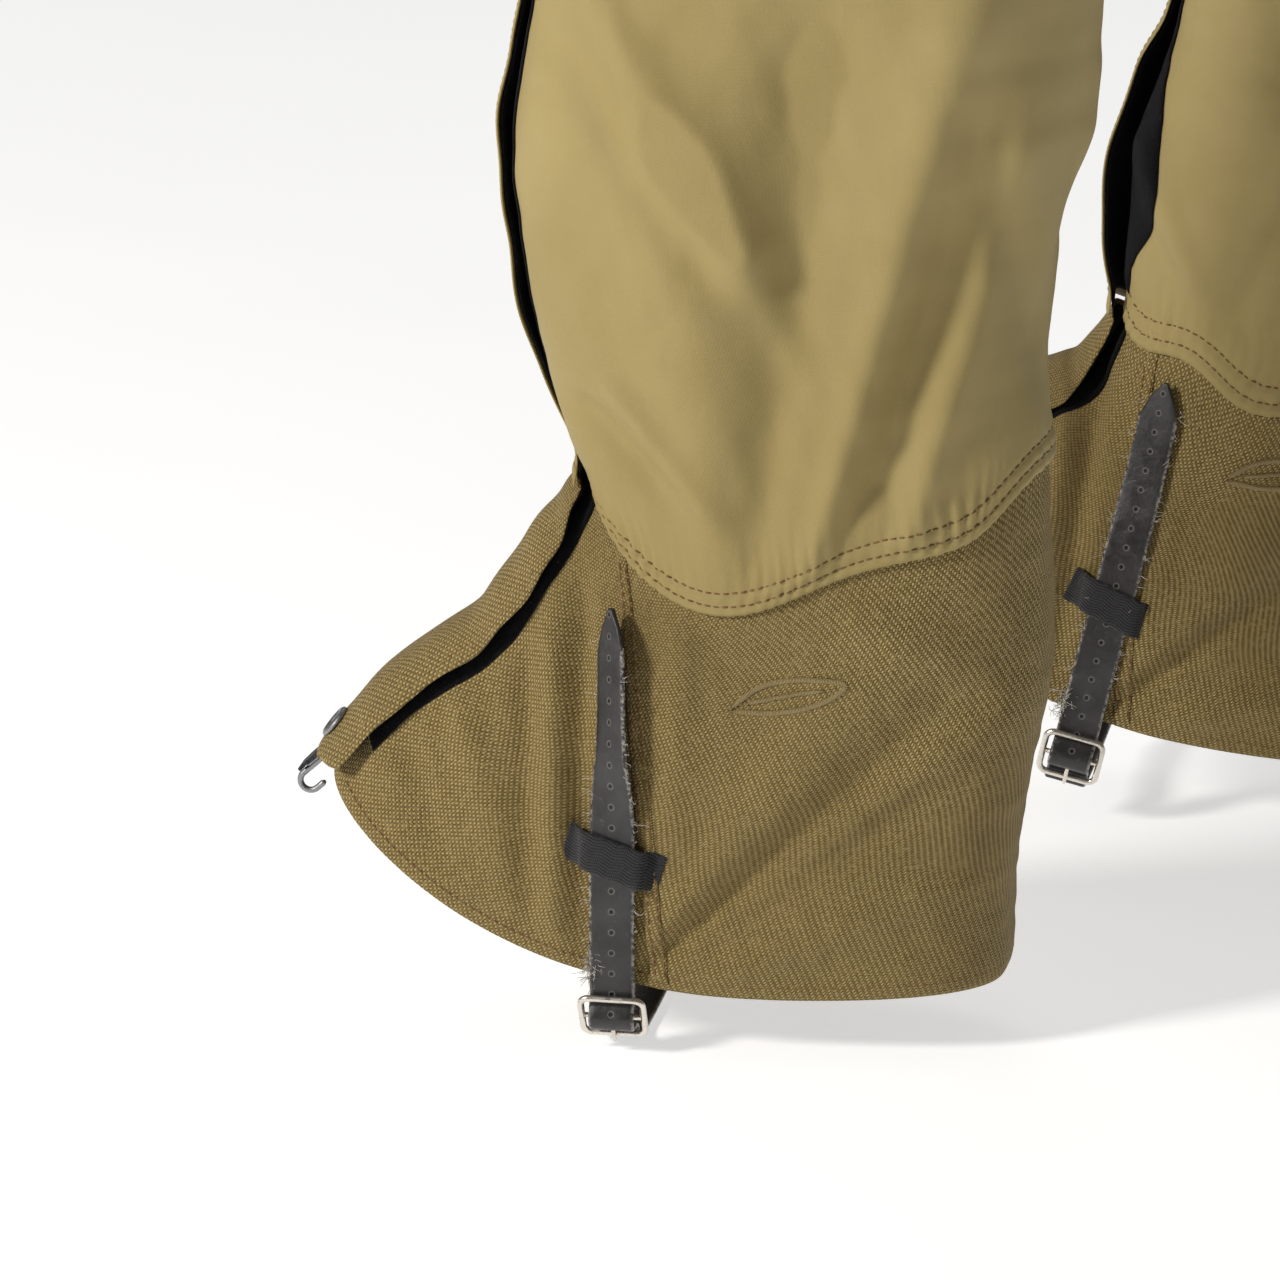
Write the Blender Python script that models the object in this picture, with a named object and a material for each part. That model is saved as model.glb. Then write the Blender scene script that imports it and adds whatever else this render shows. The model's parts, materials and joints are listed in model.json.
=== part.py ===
"""A pair of knee-high hiking gaiters, worn over boots that are not part of the model.

Each gaiter is a fabric tube: a coated upper shell over three tough lower panels, closed up the
front by a hook-and-loop flap, cinched at the top by webbing, and held under the boot's arch by a
buckled strap. Toes point to -Y, +X is the buckle side, +Z is up. Lengths below are millimetres.
"""
import bisect
import math

import bmesh
import bpy
from mathutils import Matrix, Vector

MM = 0.001

# Shell sections. Each row: height of the section at the heel line, front y, front z, heel y,
# half width, droop of the section's sides, roundness at the front and at the heel.
STATIONS = (
    (33, -127, 98, 108, 45, 34, 0.48, 0.62),
    (76, -100, 129, 111, 45, 34, 0.52, 0.64),
    (112, -71, 151, 116, 44, 34, 0.56, 0.66),
    (150, -52, 180, 122, 43, 36, 0.62, 0.70),
    (212, -32, 211, 118, 42, 39, 0.74, 0.78),
    (249, -44, 246, 116, 44, 26, 0.80, 0.84),
    (286, -53, 286, 119, 47, 14, 0.86, 0.88),
    (330, -56, 330, 127, 50, 5, 0.92, 0.92),
    (376, -49, 376, 132, 52, 1, 0.95, 0.95),
    (462, -46, 462, 130, 53, 0, 0.97, 0.97),
)
DROOP_BIAS = 0.7
SECTION_STEPS = 48
LOWER_ROWS = 7
UPPER_ROWS = 10

HEM = 33.0
SEAM = 212.0
TOP = 462.0
LAP = 9.0
UNDERLAP = 6.0
FABRIC = 1.8
GAP = 1.0
TAPE = 1.2

# Front closure, as distances round the section from its foremost point.
OPENING_EDGE = -14.0
HINGE_EDGE = -40.0
LOWER_FLAP_EDGE = 21.0
UPPER_FLAP_EDGE = 6.0
TAPE_INSET = 3.0
FLAP_LIFT = 5.0
HOOK_GAP = 0.7
SNAP_ROOM = 22.0
FLAP_SPLIT = 5.0
FRONT_SEAM_TOP = -24.0
FRONT_SEAM_HEM = -8.0
INNER_SEAM_BACK = 30.0

# Bands.
ELASTIC_WIDTH = 22.0
WEBBING = 22.0
WEBBING_THICK = 1.5
CHANNEL_LIP = 4.0
TOP_BAND_CENTRE = 445.0

# Arch strap and its buckle.
STRAP_Y = -22.0
STRAP_WIDTH = 16.0
STRAP_THICK = 1.6
STRAP_TIP_Z = 164.0
ARCH_Z = 11.0
INNER_STRAP_Z = 66.0
KEEPER_Z = 80.0
KEEPER_TALL = 14.0
KEEPER_HALF = 17.0
KEEPER_SLANT = 5.0
WEB_THICK = 1.2
BUCKLE_WIDE = 24.0
BUCKLE_TALL = 19.6
WIRE = 1.1
BUCKLE_CORNER = 3.0
BAR_RADIUS = 1.0
PRONG_RADIUS = 0.7
PRONG_CLEARANCE = 0.35
PRONG_PAST = 1.6
TAB_WIDTH = 15.0
TAB_THICK = 0.8

# Snaps, in from the ends of the flap, and the lace hook on its tab.
SNAP_RADIUS = 6.0
STUD_RADIUS = 4.6
SNAP_INSET = 11.0
TOE_SNAP_AT = 8.0
TOP_SNAP_AT = -4.0
SNAP_PROFILE = ((0.0, 0.9), (0.0, 1.6), (-1.4, 2.6))
HOOK_WIRE = 1.2
HOOK_BEND = 3.6
HOOK_SHANK = 4.0
HOOK_RUN = 6.0
HOOK_DROP = 2.6
HOOK_SLOPE = 42.0
HOOK_TAB_WIDTH = 12.0
HOOK_TAB_THICK = 1.2
HOOK_TAB_STEPS = (1.0, 4.0, 8.0, 12.0)

# Cam buckle on the cinch webbing.
CAM_WIDE = 30.0
CAM_TALL = 24.0
CAM_FROM_FLAP = 34.0
CAM_PLATE = 2.0
CAM_CORNER = 3.0
CAM_CLEARANCE = 2.2
PIN_RISE = 5.6
PIN_INSET = 4.0
PIN_RADIUS = 1.3
KNUCKLE_RADIUS = 2.7
KNUCKLE_BORE = 1.75
LEVER_PROFILE = ((21.0, -1.35), (22.0, 0.6), (21.0, 1.4), (5.0, 1.8))
LEVER_INSET = 2.5

# How far the webbing and its channel start from the flap's edge, and stop short of the opening.
WEBBING_START = 14.0
WEBBING_STOP = 10.0
CHANNEL_START = 58.0
CHANNEL_STOP = 14.0
CHANNEL_SKIN = 1.0

# Placing of the two gaiters. Pitch turns the whole gaiter, lean turns its upper, tilt and strap
# lean turn the buckle inward and backward, all in degrees. Crook is how far the front of the ankle
# moves back and down as the foot points. Wave lifts the ankle seam: share along the section, width
# and height of each swell.
PLACING = {
    "left": {"at": (137.5, -119.3, -9.6), "pitch": 0.0, "lean": 0.0, "tilt": 30.0,
             "strap_lean": 0.0, "buckle": (48.5, 23.0), "crook": (0.0, 0.0),
             "wave": ((0.61, 0.23, 13.0), (1.0, 0.09, 14.0))},
    "right": {"at": (-137.5, 5.7, -6.6), "pitch": 8.0, "lean": 15.0, "tilt": 12.0,
              "strap_lean": 5.5, "buckle": (52.0, 20.0), "crook": (6.0, 38.0),
              "wave": ((0.17, 0.14, 20.0), (0.45, 0.30, 14.0))},
}
PITCH_CENTRE = (0.0, 90.0, 20.0)
LEAN_FROM = 190.0
LEAN_TO = 290.0
LEAN_CENTRE = (-15.0, 185.0)
CROOK_BACK_AT = 240.0
CROOK_DROP_AT = 175.0
CROOK_SPREAD = 55.0
WAVE_AT = 207.0
WAVE_SPREAD = 45.0

FINISHES = {
    "upper_cloth": ((0.340, 0.250, 0.110), 0.62, 0.0),
    "lower_cloth": ((0.260, 0.180, 0.075), 0.80, 0.0),
    "tape": ((0.008, 0.007, 0.009), 0.90, 0.0),
    "webbing": ((0.010, 0.010, 0.012), 0.70, 0.0),
    "strap": ((0.030, 0.028, 0.030), 0.35, 0.0),
    "nickel": ((0.620, 0.580, 0.520), 0.28, 1.0),
    "plastic": ((0.012, 0.012, 0.013), 0.45, 0.0),
    "elastic": ((0.050, 0.045, 0.035), 0.85, 0.0),
}


def smooth(a, b, x):
    """Ease from 0 at a to 1 at b."""
    t = min(max((x - a) / (b - a), 0.0), 1.0)
    return t * t * (3.0 - 2.0 * t)


def station_values(height):
    """Section values at a height, on a smooth curve through the stations."""
    heights = [row[0] for row in STATIONS]
    i = min(max(bisect.bisect_right(heights, height) - 1, 0), len(STATIONS) - 2)
    before, after = STATIONS[i], STATIONS[i + 1]
    span = after[0] - before[0]
    t = (height - before[0]) / span
    values = []
    for k in range(1, len(before)):
        slopes = []
        for j in (i, i + 1):
            low, high = STATIONS[max(j - 1, 0)], STATIONS[min(j + 1, len(STATIONS) - 1)]
            slopes.append((high[k] - low[k]) / (high[0] - low[0]) * span)
        value = ((2 * t**3 - 3 * t**2 + 1) * before[k] + (t**3 - 2 * t**2 + t) * slopes[0]
                 + (3 * t**2 - 2 * t**3) * after[k] + (t**3 - t**2) * slopes[1])
        values.append(value)
    return values


class Shell:
    """The fabric tube as a surface: height at the heel line, and distance round the section."""

    def __init__(self, lean, crook, wave):
        self.lean = math.radians(lean)
        self.crook = crook
        self.wave = wave
        self.cache = {}

    def crook_back(self, height):
        return self.crook[0] * math.exp(-((height - CROOK_BACK_AT) / CROOK_SPREAD) ** 2)

    def crook_drop(self, height):
        return self.crook[1] * math.exp(-((height - CROOK_DROP_AT) / CROOK_SPREAD) ** 2)

    def bend(self, point):
        """Lean the upper back about the ankle."""
        turn = self.lean * smooth(LEAN_FROM, LEAN_TO, point.z)
        y = point.y - LEAN_CENTRE[0]
        z = point.z - LEAN_CENTRE[1]
        return Vector((point.x, LEAN_CENTRE[0] + y * math.cos(turn) + z * math.sin(turn),
                       LEAN_CENTRE[1] - y * math.sin(turn) + z * math.cos(turn)))

    def section(self, height):
        """Half a section, front to heel on the +X side, with the running length."""
        key = round(height, 4)
        if key in self.cache:
            return self.cache[key]
        front_y, front_z, heel_y, half, droop, front_round, heel_round = station_values(height)
        front_y += self.crook_back(height)
        front_z -= self.crook_drop(height)
        swell = math.exp(-((height - WAVE_AT) / WAVE_SPREAD) ** 2)
        points = []
        for i in range(SECTION_STEPS + 1):
            angle = math.pi * (i / SECTION_STEPS) ** 1.25
            along = (1.0 - math.cos(angle)) / 2.0
            power = front_round * (1.0 - along) + heel_round * along
            x = half * max(math.sin(angle), 0.0) ** power
            y = front_y + (heel_y - front_y) * along
            z = front_z + (height - front_z) * along
            z -= droop * math.sin(math.pi * along**DROOP_BIAS)
            z += swell * sum(high * math.exp(-((along - centre) / wide) ** 2)
                             for centre, wide, high in self.wave)
            points.append(self.bend(Vector((x, y, z))))
        lengths = [0.0]
        for a, b in zip(points, points[1:]):
            lengths.append(lengths[-1] + (b - a).length)
        self.cache[key] = (points, lengths)
        return self.cache[key]

    def half_girth(self, height):
        return self.section(height)[1][-1]

    def point(self, height, round_at):
        """A point on the surface; distances past the heel come back on the -X side."""
        points, lengths = self.section(height)
        half = lengths[-1]
        at = math.fmod(round_at, 2.0 * half)
        if at > half:
            at -= 2.0 * half
        side = 1.0 if at >= 0.0 else -1.0
        i = min(max(bisect.bisect_right(lengths, abs(at)) - 1, 0), SECTION_STEPS - 1)
        t = (abs(at) - lengths[i]) / (lengths[i + 1] - lengths[i])
        found = points[i].lerp(points[i + 1], t)
        found.x *= side
        return found

    def normal(self, height, round_at):
        """Outward direction."""
        step = 1.5
        low = max(height - step, STATIONS[0][0])
        high = min(height + step, STATIONS[-1][0])
        up = self.point(high, round_at) - self.point(low, round_at)
        across = self.point(height, round_at + step) - self.point(height, round_at - step)
        return across.cross(up).normalized()

    def offset(self, height, round_at, out):
        return self.point(height, round_at) + self.normal(height, round_at) * out

    def find_y(self, height, y):
        """Distance round the +X side at which the section reaches a given y."""
        points, lengths = self.section(height)
        for i in range(SECTION_STEPS):
            if points[i + 1].y >= y:
                t = (y - points[i].y) / (points[i + 1].y - points[i].y)
                return lengths[i] + t * (lengths[i + 1] - lengths[i])
        return lengths[-1]

    def find_side(self, y, z):
        """Height and distance round of the +X side point with a given y and z."""
        low, high = HEM, TOP
        for _ in range(28):
            middle = (low + high) / 2.0
            if self.point(middle, self.find_y(middle, y)).z < z:
                low = middle
            else:
                high = middle
        return low, self.find_y(low, y)


def material(finish):
    name = "finish_" + finish
    found = bpy.data.materials.get(name)
    if found:
        return found
    colour, roughness, metallic = FINISHES[finish]
    made = bpy.data.materials.new(name)
    made.use_nodes = True
    shader = made.node_tree.nodes["Principled BSDF"]
    shader.inputs["Base Color"].default_value = (*colour, 1.0)
    shader.inputs["Roughness"].default_value = roughness
    shader.inputs["Metallic"].default_value = metallic
    made.diffuse_color = (*colour, 1.0)
    return made


def add(gaiter, name, points, faces, finish, pivot=(0.0, 0.0, 0.0), smooth_shade=True):
    """One named solid, its origin at the pivot, under the gaiter's empty."""
    pivot = Vector(pivot)
    mesh = bpy.data.meshes.new(gaiter.side + "_" + name)
    mesh.from_pydata([(Vector(p) - pivot) * MM for p in points], [], faces)
    work = bmesh.new()
    work.from_mesh(mesh)
    bmesh.ops.remove_doubles(work, verts=work.verts, dist=0.00001)
    bmesh.ops.recalc_face_normals(work, faces=work.faces)
    if work.calc_volume(signed=True) < 0.0:
        bmesh.ops.reverse_faces(work, faces=work.faces)
    work.to_mesh(mesh)
    work.free()
    mesh.shade_smooth() if smooth_shade else mesh.shade_flat()
    mesh.materials.append(material(finish))
    made = bpy.data.objects.new(gaiter.side + "_" + name, mesh)
    made.parent = gaiter.empty
    made.location = pivot * MM
    bpy.context.scene.collection.objects.link(made)
    return made


def cloth_faces(rows, columns, kept=None):
    """Faces of a closed sheet: two skins of a grid, and walls wherever a kept cell ends."""
    kept = kept or (lambda i, j: True)
    count = rows * columns
    faces = []

    def is_cell(i, j):
        return 0 <= i < rows - 1 and 0 <= j < columns - 1 and kept(i, j)

    for i in range(rows - 1):
        for j in range(columns - 1):
            if not is_cell(i, j):
                continue
            a, b = i * columns + j, i * columns + j + 1
            d, c = a + columns, b + columns
            faces.append((a, b, c, d))
            faces.append((a + count, d + count, c + count, b + count))
            for step, (p, q) in (((-1, 0), (a, b)), ((1, 0), (c, d)),
                                 ((0, -1), (d, a)), ((0, 1), (b, c))):
                if not is_cell(i + step[0], j + step[1]):
                    faces.append((q, p, p + count, q + count))
    return faces


def used_only(points, faces):
    """Drop the points that no face uses."""
    used = sorted({i for face in faces for i in face})
    place = {old: new for new, old in enumerate(used)}
    return [points[i] for i in used], [tuple(place[i] for i in face) for face in faces]


def panel(gaiter, name, finish, heights, lines, inner, outer, across, pivot=(0.0, 0.0, 0.0)):
    """A shaped cloth panel between two skins.

    lines(height) gives its edges and the lines between them, and across the cells between those.
    """
    outside, inside = [], []
    for height in heights:
        marks = lines(height)
        places = [marks[0]]
        for start, stop, cells in zip(marks, marks[1:], across):
            places.extend(spaced(start, stop, cells)[1:])
        for at in places:
            outside.append(gaiter.shell.offset(height, at, outer(height, at)))
            inside.append(gaiter.shell.offset(height, at, inner(height, at)))
    faces = cloth_faces(len(heights), sum(across) + 1)
    return add(gaiter, name, outside + inside, faces, finish, pivot)


def band(gaiter, name, finish, centre, profile, ends, across):
    """A band round the shell: a closed outline of (height, out) pairs swept along it."""
    points = []
    for j in range(across + 1):
        for rise, out in profile:
            height = centre + rise
            start, stop = ends(height)
            at = start + (stop - start) * j / across
            points.append(gaiter.shell.offset(height, at, out))
    count = len(profile)
    faces = []
    for j in range(across):
        for k in range(count):
            a, b = j * count + k, j * count + (k + 1) % count
            faces.append((a, b, b + count, a + count))
    faces.append(tuple(range(count - 1, -1, -1)))
    faces.append(tuple(across * count + k for k in range(count)))
    return add(gaiter, name, points, faces, finish, smooth_shade=False)


def ribbon(gaiter, name, finish, centres, sides, widths, thick, pivot=(0.0, 0.0, 0.0), slot=None):
    """A flat strap along centres; sides are its width directions; slot is a range of rows."""
    outside, inside = [], []
    for i, centre in enumerate(centres):
        ahead = centres[min(i + 1, len(centres) - 1)] - centres[max(i - 1, 0)]
        ahead.normalize()
        side = (sides[i] - ahead * sides[i].dot(ahead)).normalized()
        out = side.cross(ahead).normalized()
        for share in (-0.5, -0.13, 0.13, 0.5):
            place = centre + side * (widths[i] * share)
            outside.append(place + out * (thick / 2.0))
            inside.append(place - out * (thick / 2.0))
    kept = None
    if slot:
        kept = lambda i, j: not (slot[0] <= i < slot[1] and j == 1)
    faces = cloth_faces(len(centres), 4, kept)
    points, faces = used_only(outside + inside, faces)
    return add(gaiter, name, points, faces, finish, pivot)


def wire(path, across, radius, sides=8):
    """A round wire along a path that lies in one plane; across is that plane's normal."""
    points, faces = [], []
    count = len(path)
    for i, centre in enumerate(path):
        ahead = (path[min(i + 1, count - 1)] - path[max(i - 1, 0)]).normalized()
        up = ahead.cross(across).normalized()
        for k in range(sides):
            turn = 2.0 * math.pi * k / sides
            points.append(centre + (across * math.cos(turn) + up * math.sin(turn)) * radius)
    for i in range(count - 1):
        for k in range(sides):
            a, b = i * sides + k, i * sides + (k + 1) % sides
            faces.append((a, b, b + sides, a + sides))
    faces.append(tuple(range(sides - 1, -1, -1)))
    faces.append(tuple((count - 1) * sides + k for k in range(sides)))
    return points, faces


def lathe(centre, axis, outline, sides=14):
    """A turned solid: outline of (radius, height) pairs from the bottom centre to the top."""
    axis = axis.normalized()
    spare = Vector((0.0, 0.0, 1.0)) if abs(axis.z) < 0.9 else Vector((0.0, 1.0, 0.0))
    side = axis.cross(spare).normalized()
    other = axis.cross(side)
    points = [centre + axis * outline[0][1]]
    for radius, height in outline:
        for k in range(sides):
            turn = 2.0 * math.pi * k / sides
            ring = side * math.cos(turn) + other * math.sin(turn)
            points.append(centre + axis * height + ring * radius)
    points.append(centre + axis * outline[-1][1])
    faces = []
    for k in range(sides):
        faces.append((0, 1 + (k + 1) % sides, 1 + k))
        last = 1 + (len(outline) - 1) * sides
        faces.append((len(points) - 1, last + k, last + (k + 1) % sides))
    for row in range(len(outline) - 1):
        for k in range(sides):
            a, b = 1 + row * sides + k, 1 + row * sides + (k + 1) % sides
            faces.append((a, b, b + sides, a + sides))
    return points, faces


def block(centre, right, up, out, size, chamfer):
    """A plate with chamfered corners, given by its centre and its three directions."""
    wide, tall, deep = (value / 2.0 for value in size)
    outline = []
    for x, y, swap in ((1, 1, 0), (-1, 1, 1), (-1, -1, 0), (1, -1, 1)):
        pair = [(x * wide, y * (tall - chamfer)), (x * (wide - chamfer), y * tall)]
        outline.extend(reversed(pair) if swap else pair)
    points = []
    for level in (-deep, deep):
        points.extend(centre + right * x + up * y + out * level for x, y in outline)
    count = len(outline)
    faces = [tuple(range(count - 1, -1, -1)), tuple(range(count, 2 * count))]
    for k in range(count):
        faces.append((k, (k + 1) % count, (k + 1) % count + count, k + count))
    return points, faces


def spaced(start, stop, count):
    return [start + (stop - start) * i / count for i in range(count + 1)]


def rows(start, stop):
    """Heights from start to stop, on the shell's common rows in between."""
    common = spaced(HEM, SEAM - LAP, LOWER_ROWS) + spaced(SEAM + UNDERLAP, TOP, UPPER_ROWS)
    return [start, *(h for h in common if start + 3.0 < h < stop - 3.0), stop]


class Gaiter:
    """One gaiter's frame, its shell surface, and its joint lines."""

    def __init__(self, side):
        self.side = side
        place = PLACING[side]
        self.tilt = math.radians(place["tilt"])
        self.buckle = place["buckle"]
        self.strap_lean = math.radians(place["strap_lean"])
        self.shell = Shell(place["lean"], place["crook"], place["wave"])
        self.empty = bpy.data.objects.new(side + "_frame", None)
        bpy.context.scene.collection.objects.link(self.empty)
        turn = Matrix.Rotation(math.radians(-place["pitch"]), 4, "X")
        centre = Matrix.Translation(Vector(PITCH_CENTRE) * MM)
        self.empty.matrix_world = (Matrix.Translation(Vector(place["at"]) * MM)
                                   @ centre @ turn @ centre.inverted())
        self.joints = {}

    def flap_edge(self, height):
        return LOWER_FLAP_EDGE + (UPPER_FLAP_EDGE - LOWER_FLAP_EDGE) * smooth(150, 250, height)

    def seam_edge(self, height, back=0.0):
        """Where the side seam of the lower panels runs, set back by a distance in y."""
        share = (height - HEM) / (SEAM - HEM)
        y = FRONT_SEAM_HEM + (FRONT_SEAM_TOP - FRONT_SEAM_HEM) * share + back
        y += self.shell.crook_back(height)
        leaned = self.shell.bend(Vector((0.0, y, height)))
        return self.shell.find_y(height, leaned.y)

    def tape_edge(self, height):
        return self.flap_edge(height) + TAPE_INSET

    def far_edge(self, height):
        """The shell's inner front edge, measured the long way round."""
        return 2.0 * self.shell.half_girth(height) + HINGE_EDGE

    def layer(self, height):
        """How far the cloth under the flap stands out: the upper shell laps the lower panels."""
        return FABRIC + GAP if height >= SEAM - LAP else 0.0

    def flap_inner(self, height, at):
        """Inner face of the flap: near the cloth at its hinge, over both tapes at its edge."""
        lift = GAP + FABRIC + self.layer(height)
        return lift + FLAP_LIFT * smooth(HINGE_EDGE, OPENING_EDGE - 4.0, at)

    def strap_frame(self, z, out):
        """Point, outward direction and width direction of the strap over the lower cloth."""
        y = STRAP_Y + (z - self.buckle[1]) * math.tan(self.strap_lean)
        height, at = self.shell.find_side(y, z)
        normal = self.shell.normal(height, at)
        side = Vector((0.0, 0.0, 1.0)).cross(normal).normalized()
        return self.shell.point(height, at) + normal * out, normal, side


def build_shell(g):
    lapped = FABRIC + GAP
    panel(g, "upper_shell", "upper_cloth", rows(SEAM - LAP, TOP),
          lambda h: (OPENING_EDGE, 0.0, g.tape_edge(h), g.far_edge(h)),
          lambda h, a: lapped, lambda h, a: lapped + FABRIC, (2, 2, 26))
    lower = rows(HEM, SEAM + UNDERLAP)
    split = GAP / 2.0
    runs = (
        ("lower_front_outer",
         lambda h: (OPENING_EDGE, 0.0, g.tape_edge(h), g.seam_edge(h) - split), (2, 3, 6)),
        ("lower_rear",
         lambda h: (g.seam_edge(h) + split, g.shell.half_girth(h),
                    2.0 * g.shell.half_girth(h) - g.seam_edge(h, INNER_SEAM_BACK) - split),
         (8, 7)),
        ("lower_front_inner",
         lambda h: (-g.seam_edge(h, INNER_SEAM_BACK) + split, HINGE_EDGE), (6,)),
    )
    for name, lines, cells in runs:
        panel(g, name, "lower_cloth", lower, lines, lambda h, a: 0.0, lambda h, a: FABRIC, cells)
    half = ELASTIC_WIDTH / 2.0
    inside = -GAP - 2.0
    band(g, "ankle_elastic", "elastic", SEAM - 2.0,
         ((-half, inside - 1.0), (half, inside - 1.0), (half, inside), (-half, inside)),
         lambda h: (OPENING_EDGE + 8.0, g.far_edge(h) - 4.0), 28)


def build_tapes(g):
    """Loop tape on the shell's front edge, in an upper and a lower run."""
    runs = (("lower_loop_tape", HEM + SNAP_ROOM, SEAM - LAP - 2.0, 0.0),
            ("upper_loop_tape", SEAM - LAP, TOP - SNAP_ROOM, FABRIC + GAP))
    for name, start, stop, layer in runs:
        low = layer + FABRIC + GAP
        panel(g, name, "tape", rows(start, stop),
              lambda h: (OPENING_EDGE + 1.0, 0.0, g.tape_edge(h)),
              lambda h, a: low, lambda h, a: low + TAPE, (2, 3))


def flap_axis(g, low, high):
    """A straight hinge line beside the flap's inner edge."""
    base = g.shell.offset(low, HINGE_EDGE - 1.0, FABRIC)
    end = g.shell.offset(high, HINGE_EDGE - 1.0, FABRIC)
    return base, end


def build_flaps(g):
    """Upper and lower runs of the front flap, each with its hook tape."""
    runs = (("lower", "lower_cloth", HEM + 1.0, SEAM - LAP - FLAP_SPLIT, HEM + SNAP_ROOM,
             SEAM - LAP - FLAP_SPLIT - 3.0),
            ("upper", "upper_cloth", SEAM - LAP + FLAP_SPLIT, TOP, SEAM, TOP - SNAP_ROOM))
    for name, cloth, start, stop, tape_start, tape_stop in runs:
        base, end = flap_axis(g, start, stop)
        pivot = (base + end) / 2.0
        g.joints[name + "_flap"] = (pivot, (end - base).normalized())
        inner = lambda h, a: g.flap_inner(h, a)
        outer = lambda h, a: g.flap_inner(h, a) + FABRIC
        panel(g, name + "_flap", cloth, rows(start, stop),
              lambda h: (HINGE_EDGE + 1.0, OPENING_EDGE, 0.0, g.flap_edge(h)),
              inner, outer, (3, 2, 3), pivot)
        panel(g, name + "_hook_tape", "tape", rows(tape_start, tape_stop),
              lambda h: (OPENING_EDGE, 0.0, g.flap_edge(h) - 1.5),
              lambda h, a: g.flap_inner(h, a) - HOOK_GAP - TAPE,
              lambda h, a: g.flap_inner(h, a) - HOOK_GAP, (2, 3), pivot)


def build_top(g):
    """Webbing cinch in its channel round the top, and the cam buckle that locks it."""
    low = 2.0 * FABRIC + 2.0 * GAP
    half = WEBBING / 2.0
    band(g, "cinch_webbing", "webbing", TOP_BAND_CENTRE,
         ((-half, low), (-half, low + WEBBING_THICK), (half, low + WEBBING_THICK), (half, low)),
         lambda h: (g.flap_edge(h) + WEBBING_START, g.far_edge(h) - WEBBING_STOP), 30)
    roof = low + WEBBING_THICK + GAP
    wide = half + 1.0
    lip = wide + CHANNEL_LIP
    skin = CHANNEL_SKIN
    band(g, "top_channel", "upper_cloth", TOP_BAND_CENTRE,
         ((-lip, low), (-lip, low + skin), (-wide - skin, roof + skin), (wide + skin, roof + skin),
          (lip, low + skin), (lip, low), (wide, low), (wide, roof), (-wide, roof), (-wide, low)),
         lambda h: (g.flap_edge(h) + CHANNEL_START, g.far_edge(h) - CHANNEL_STOP), 28)
    height = TOP_BAND_CENTRE
    at = g.flap_edge(height) + CAM_FROM_FLAP
    centre = g.shell.point(height, at)
    out = g.shell.normal(height, at)
    up = Vector((0.0, 0.0, 1.0))
    up = (up - out * up.dot(out)).normalized()
    right = up.cross(out)
    base = low + WEBBING_THICK + CAM_CLEARANCE
    size = (CAM_WIDE, CAM_TALL + 2.0 * CAM_PLATE, CAM_PLATE)
    plate = block(centre + out * (base + CAM_PLATE / 2.0), right, up, out, size, CAM_CORNER)
    add(g, "cam_buckle_base", *plate, "plastic", smooth_shade=False)
    hinge = centre + out * (base + PIN_RISE) - right * (CAM_WIDE / 2.0 - PIN_INSET)
    reach = CAM_TALL / 2.0 - CAM_PLATE / 2.0
    bar = lathe(hinge, up, ((PIN_RADIUS, -reach), (PIN_RADIUS, reach)), 10)
    add(g, "cam_pin", *bar, "nickel")
    build_cam_lever(g, hinge, right, up, out)
    g.joints["cam_lever"] = (hinge, up)


def build_cam_lever(g, hinge, right, up, out):
    """The lever: a plate with a hollow knuckle that turns on the pin."""
    outline = []
    for turn in spaced(math.radians(60.0), math.radians(330.0), 8):
        outline.append((KNUCKLE_RADIUS * math.cos(turn), KNUCKLE_RADIUS * math.sin(turn)))
    outline.extend(LEVER_PROFILE)
    bore = KNUCKLE_BORE
    sides = 12
    half = CAM_TALL / 2.0 - LEVER_INSET
    points = []
    for level in (-half, half):
        points.extend(hinge + right * x + out * y + up * level for x, y in outline)
        for k in range(sides):
            turn = 2.0 * math.pi * k / sides
            points.append(hinge + right * (bore * math.cos(turn)) + out * (bore * math.sin(turn))
                          + up * level)
    mesh = bpy.data.meshes.new("lever_work")
    work = bmesh.new()
    made = [work.verts.new(point) for point in points]
    count = len(outline)
    total = count + sides
    for level in (0, total):
        edges = []
        for k in range(count):
            edges.append(work.edges.new((made[level + k], made[level + (k + 1) % count])))
        for k in range(sides):
            first = level + count
            edges.append(work.edges.new((made[first + k], made[first + (k + 1) % sides])))
        bmesh.ops.triangle_fill(work, use_beauty=True, use_dissolve=False, edges=edges)
    for k in range(count):
        n = (k + 1) % count
        work.faces.new((made[k], made[n], made[total + n], made[total + k]))
    for k in range(sides):
        n = (k + 1) % sides
        a, b = made[count + k], made[count + n]
        work.faces.new((b, a, made[total + count + k], made[total + count + n]))
    bmesh.ops.recalc_face_normals(work, faces=work.faces)
    work.to_mesh(mesh)
    work.free()
    faces = [tuple(face.vertices) for face in mesh.polygons]
    add(g, "cam_lever", [v.co.copy() for v in mesh.vertices], faces, "plastic", hinge, False)
    bpy.data.meshes.remove(mesh)


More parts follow.
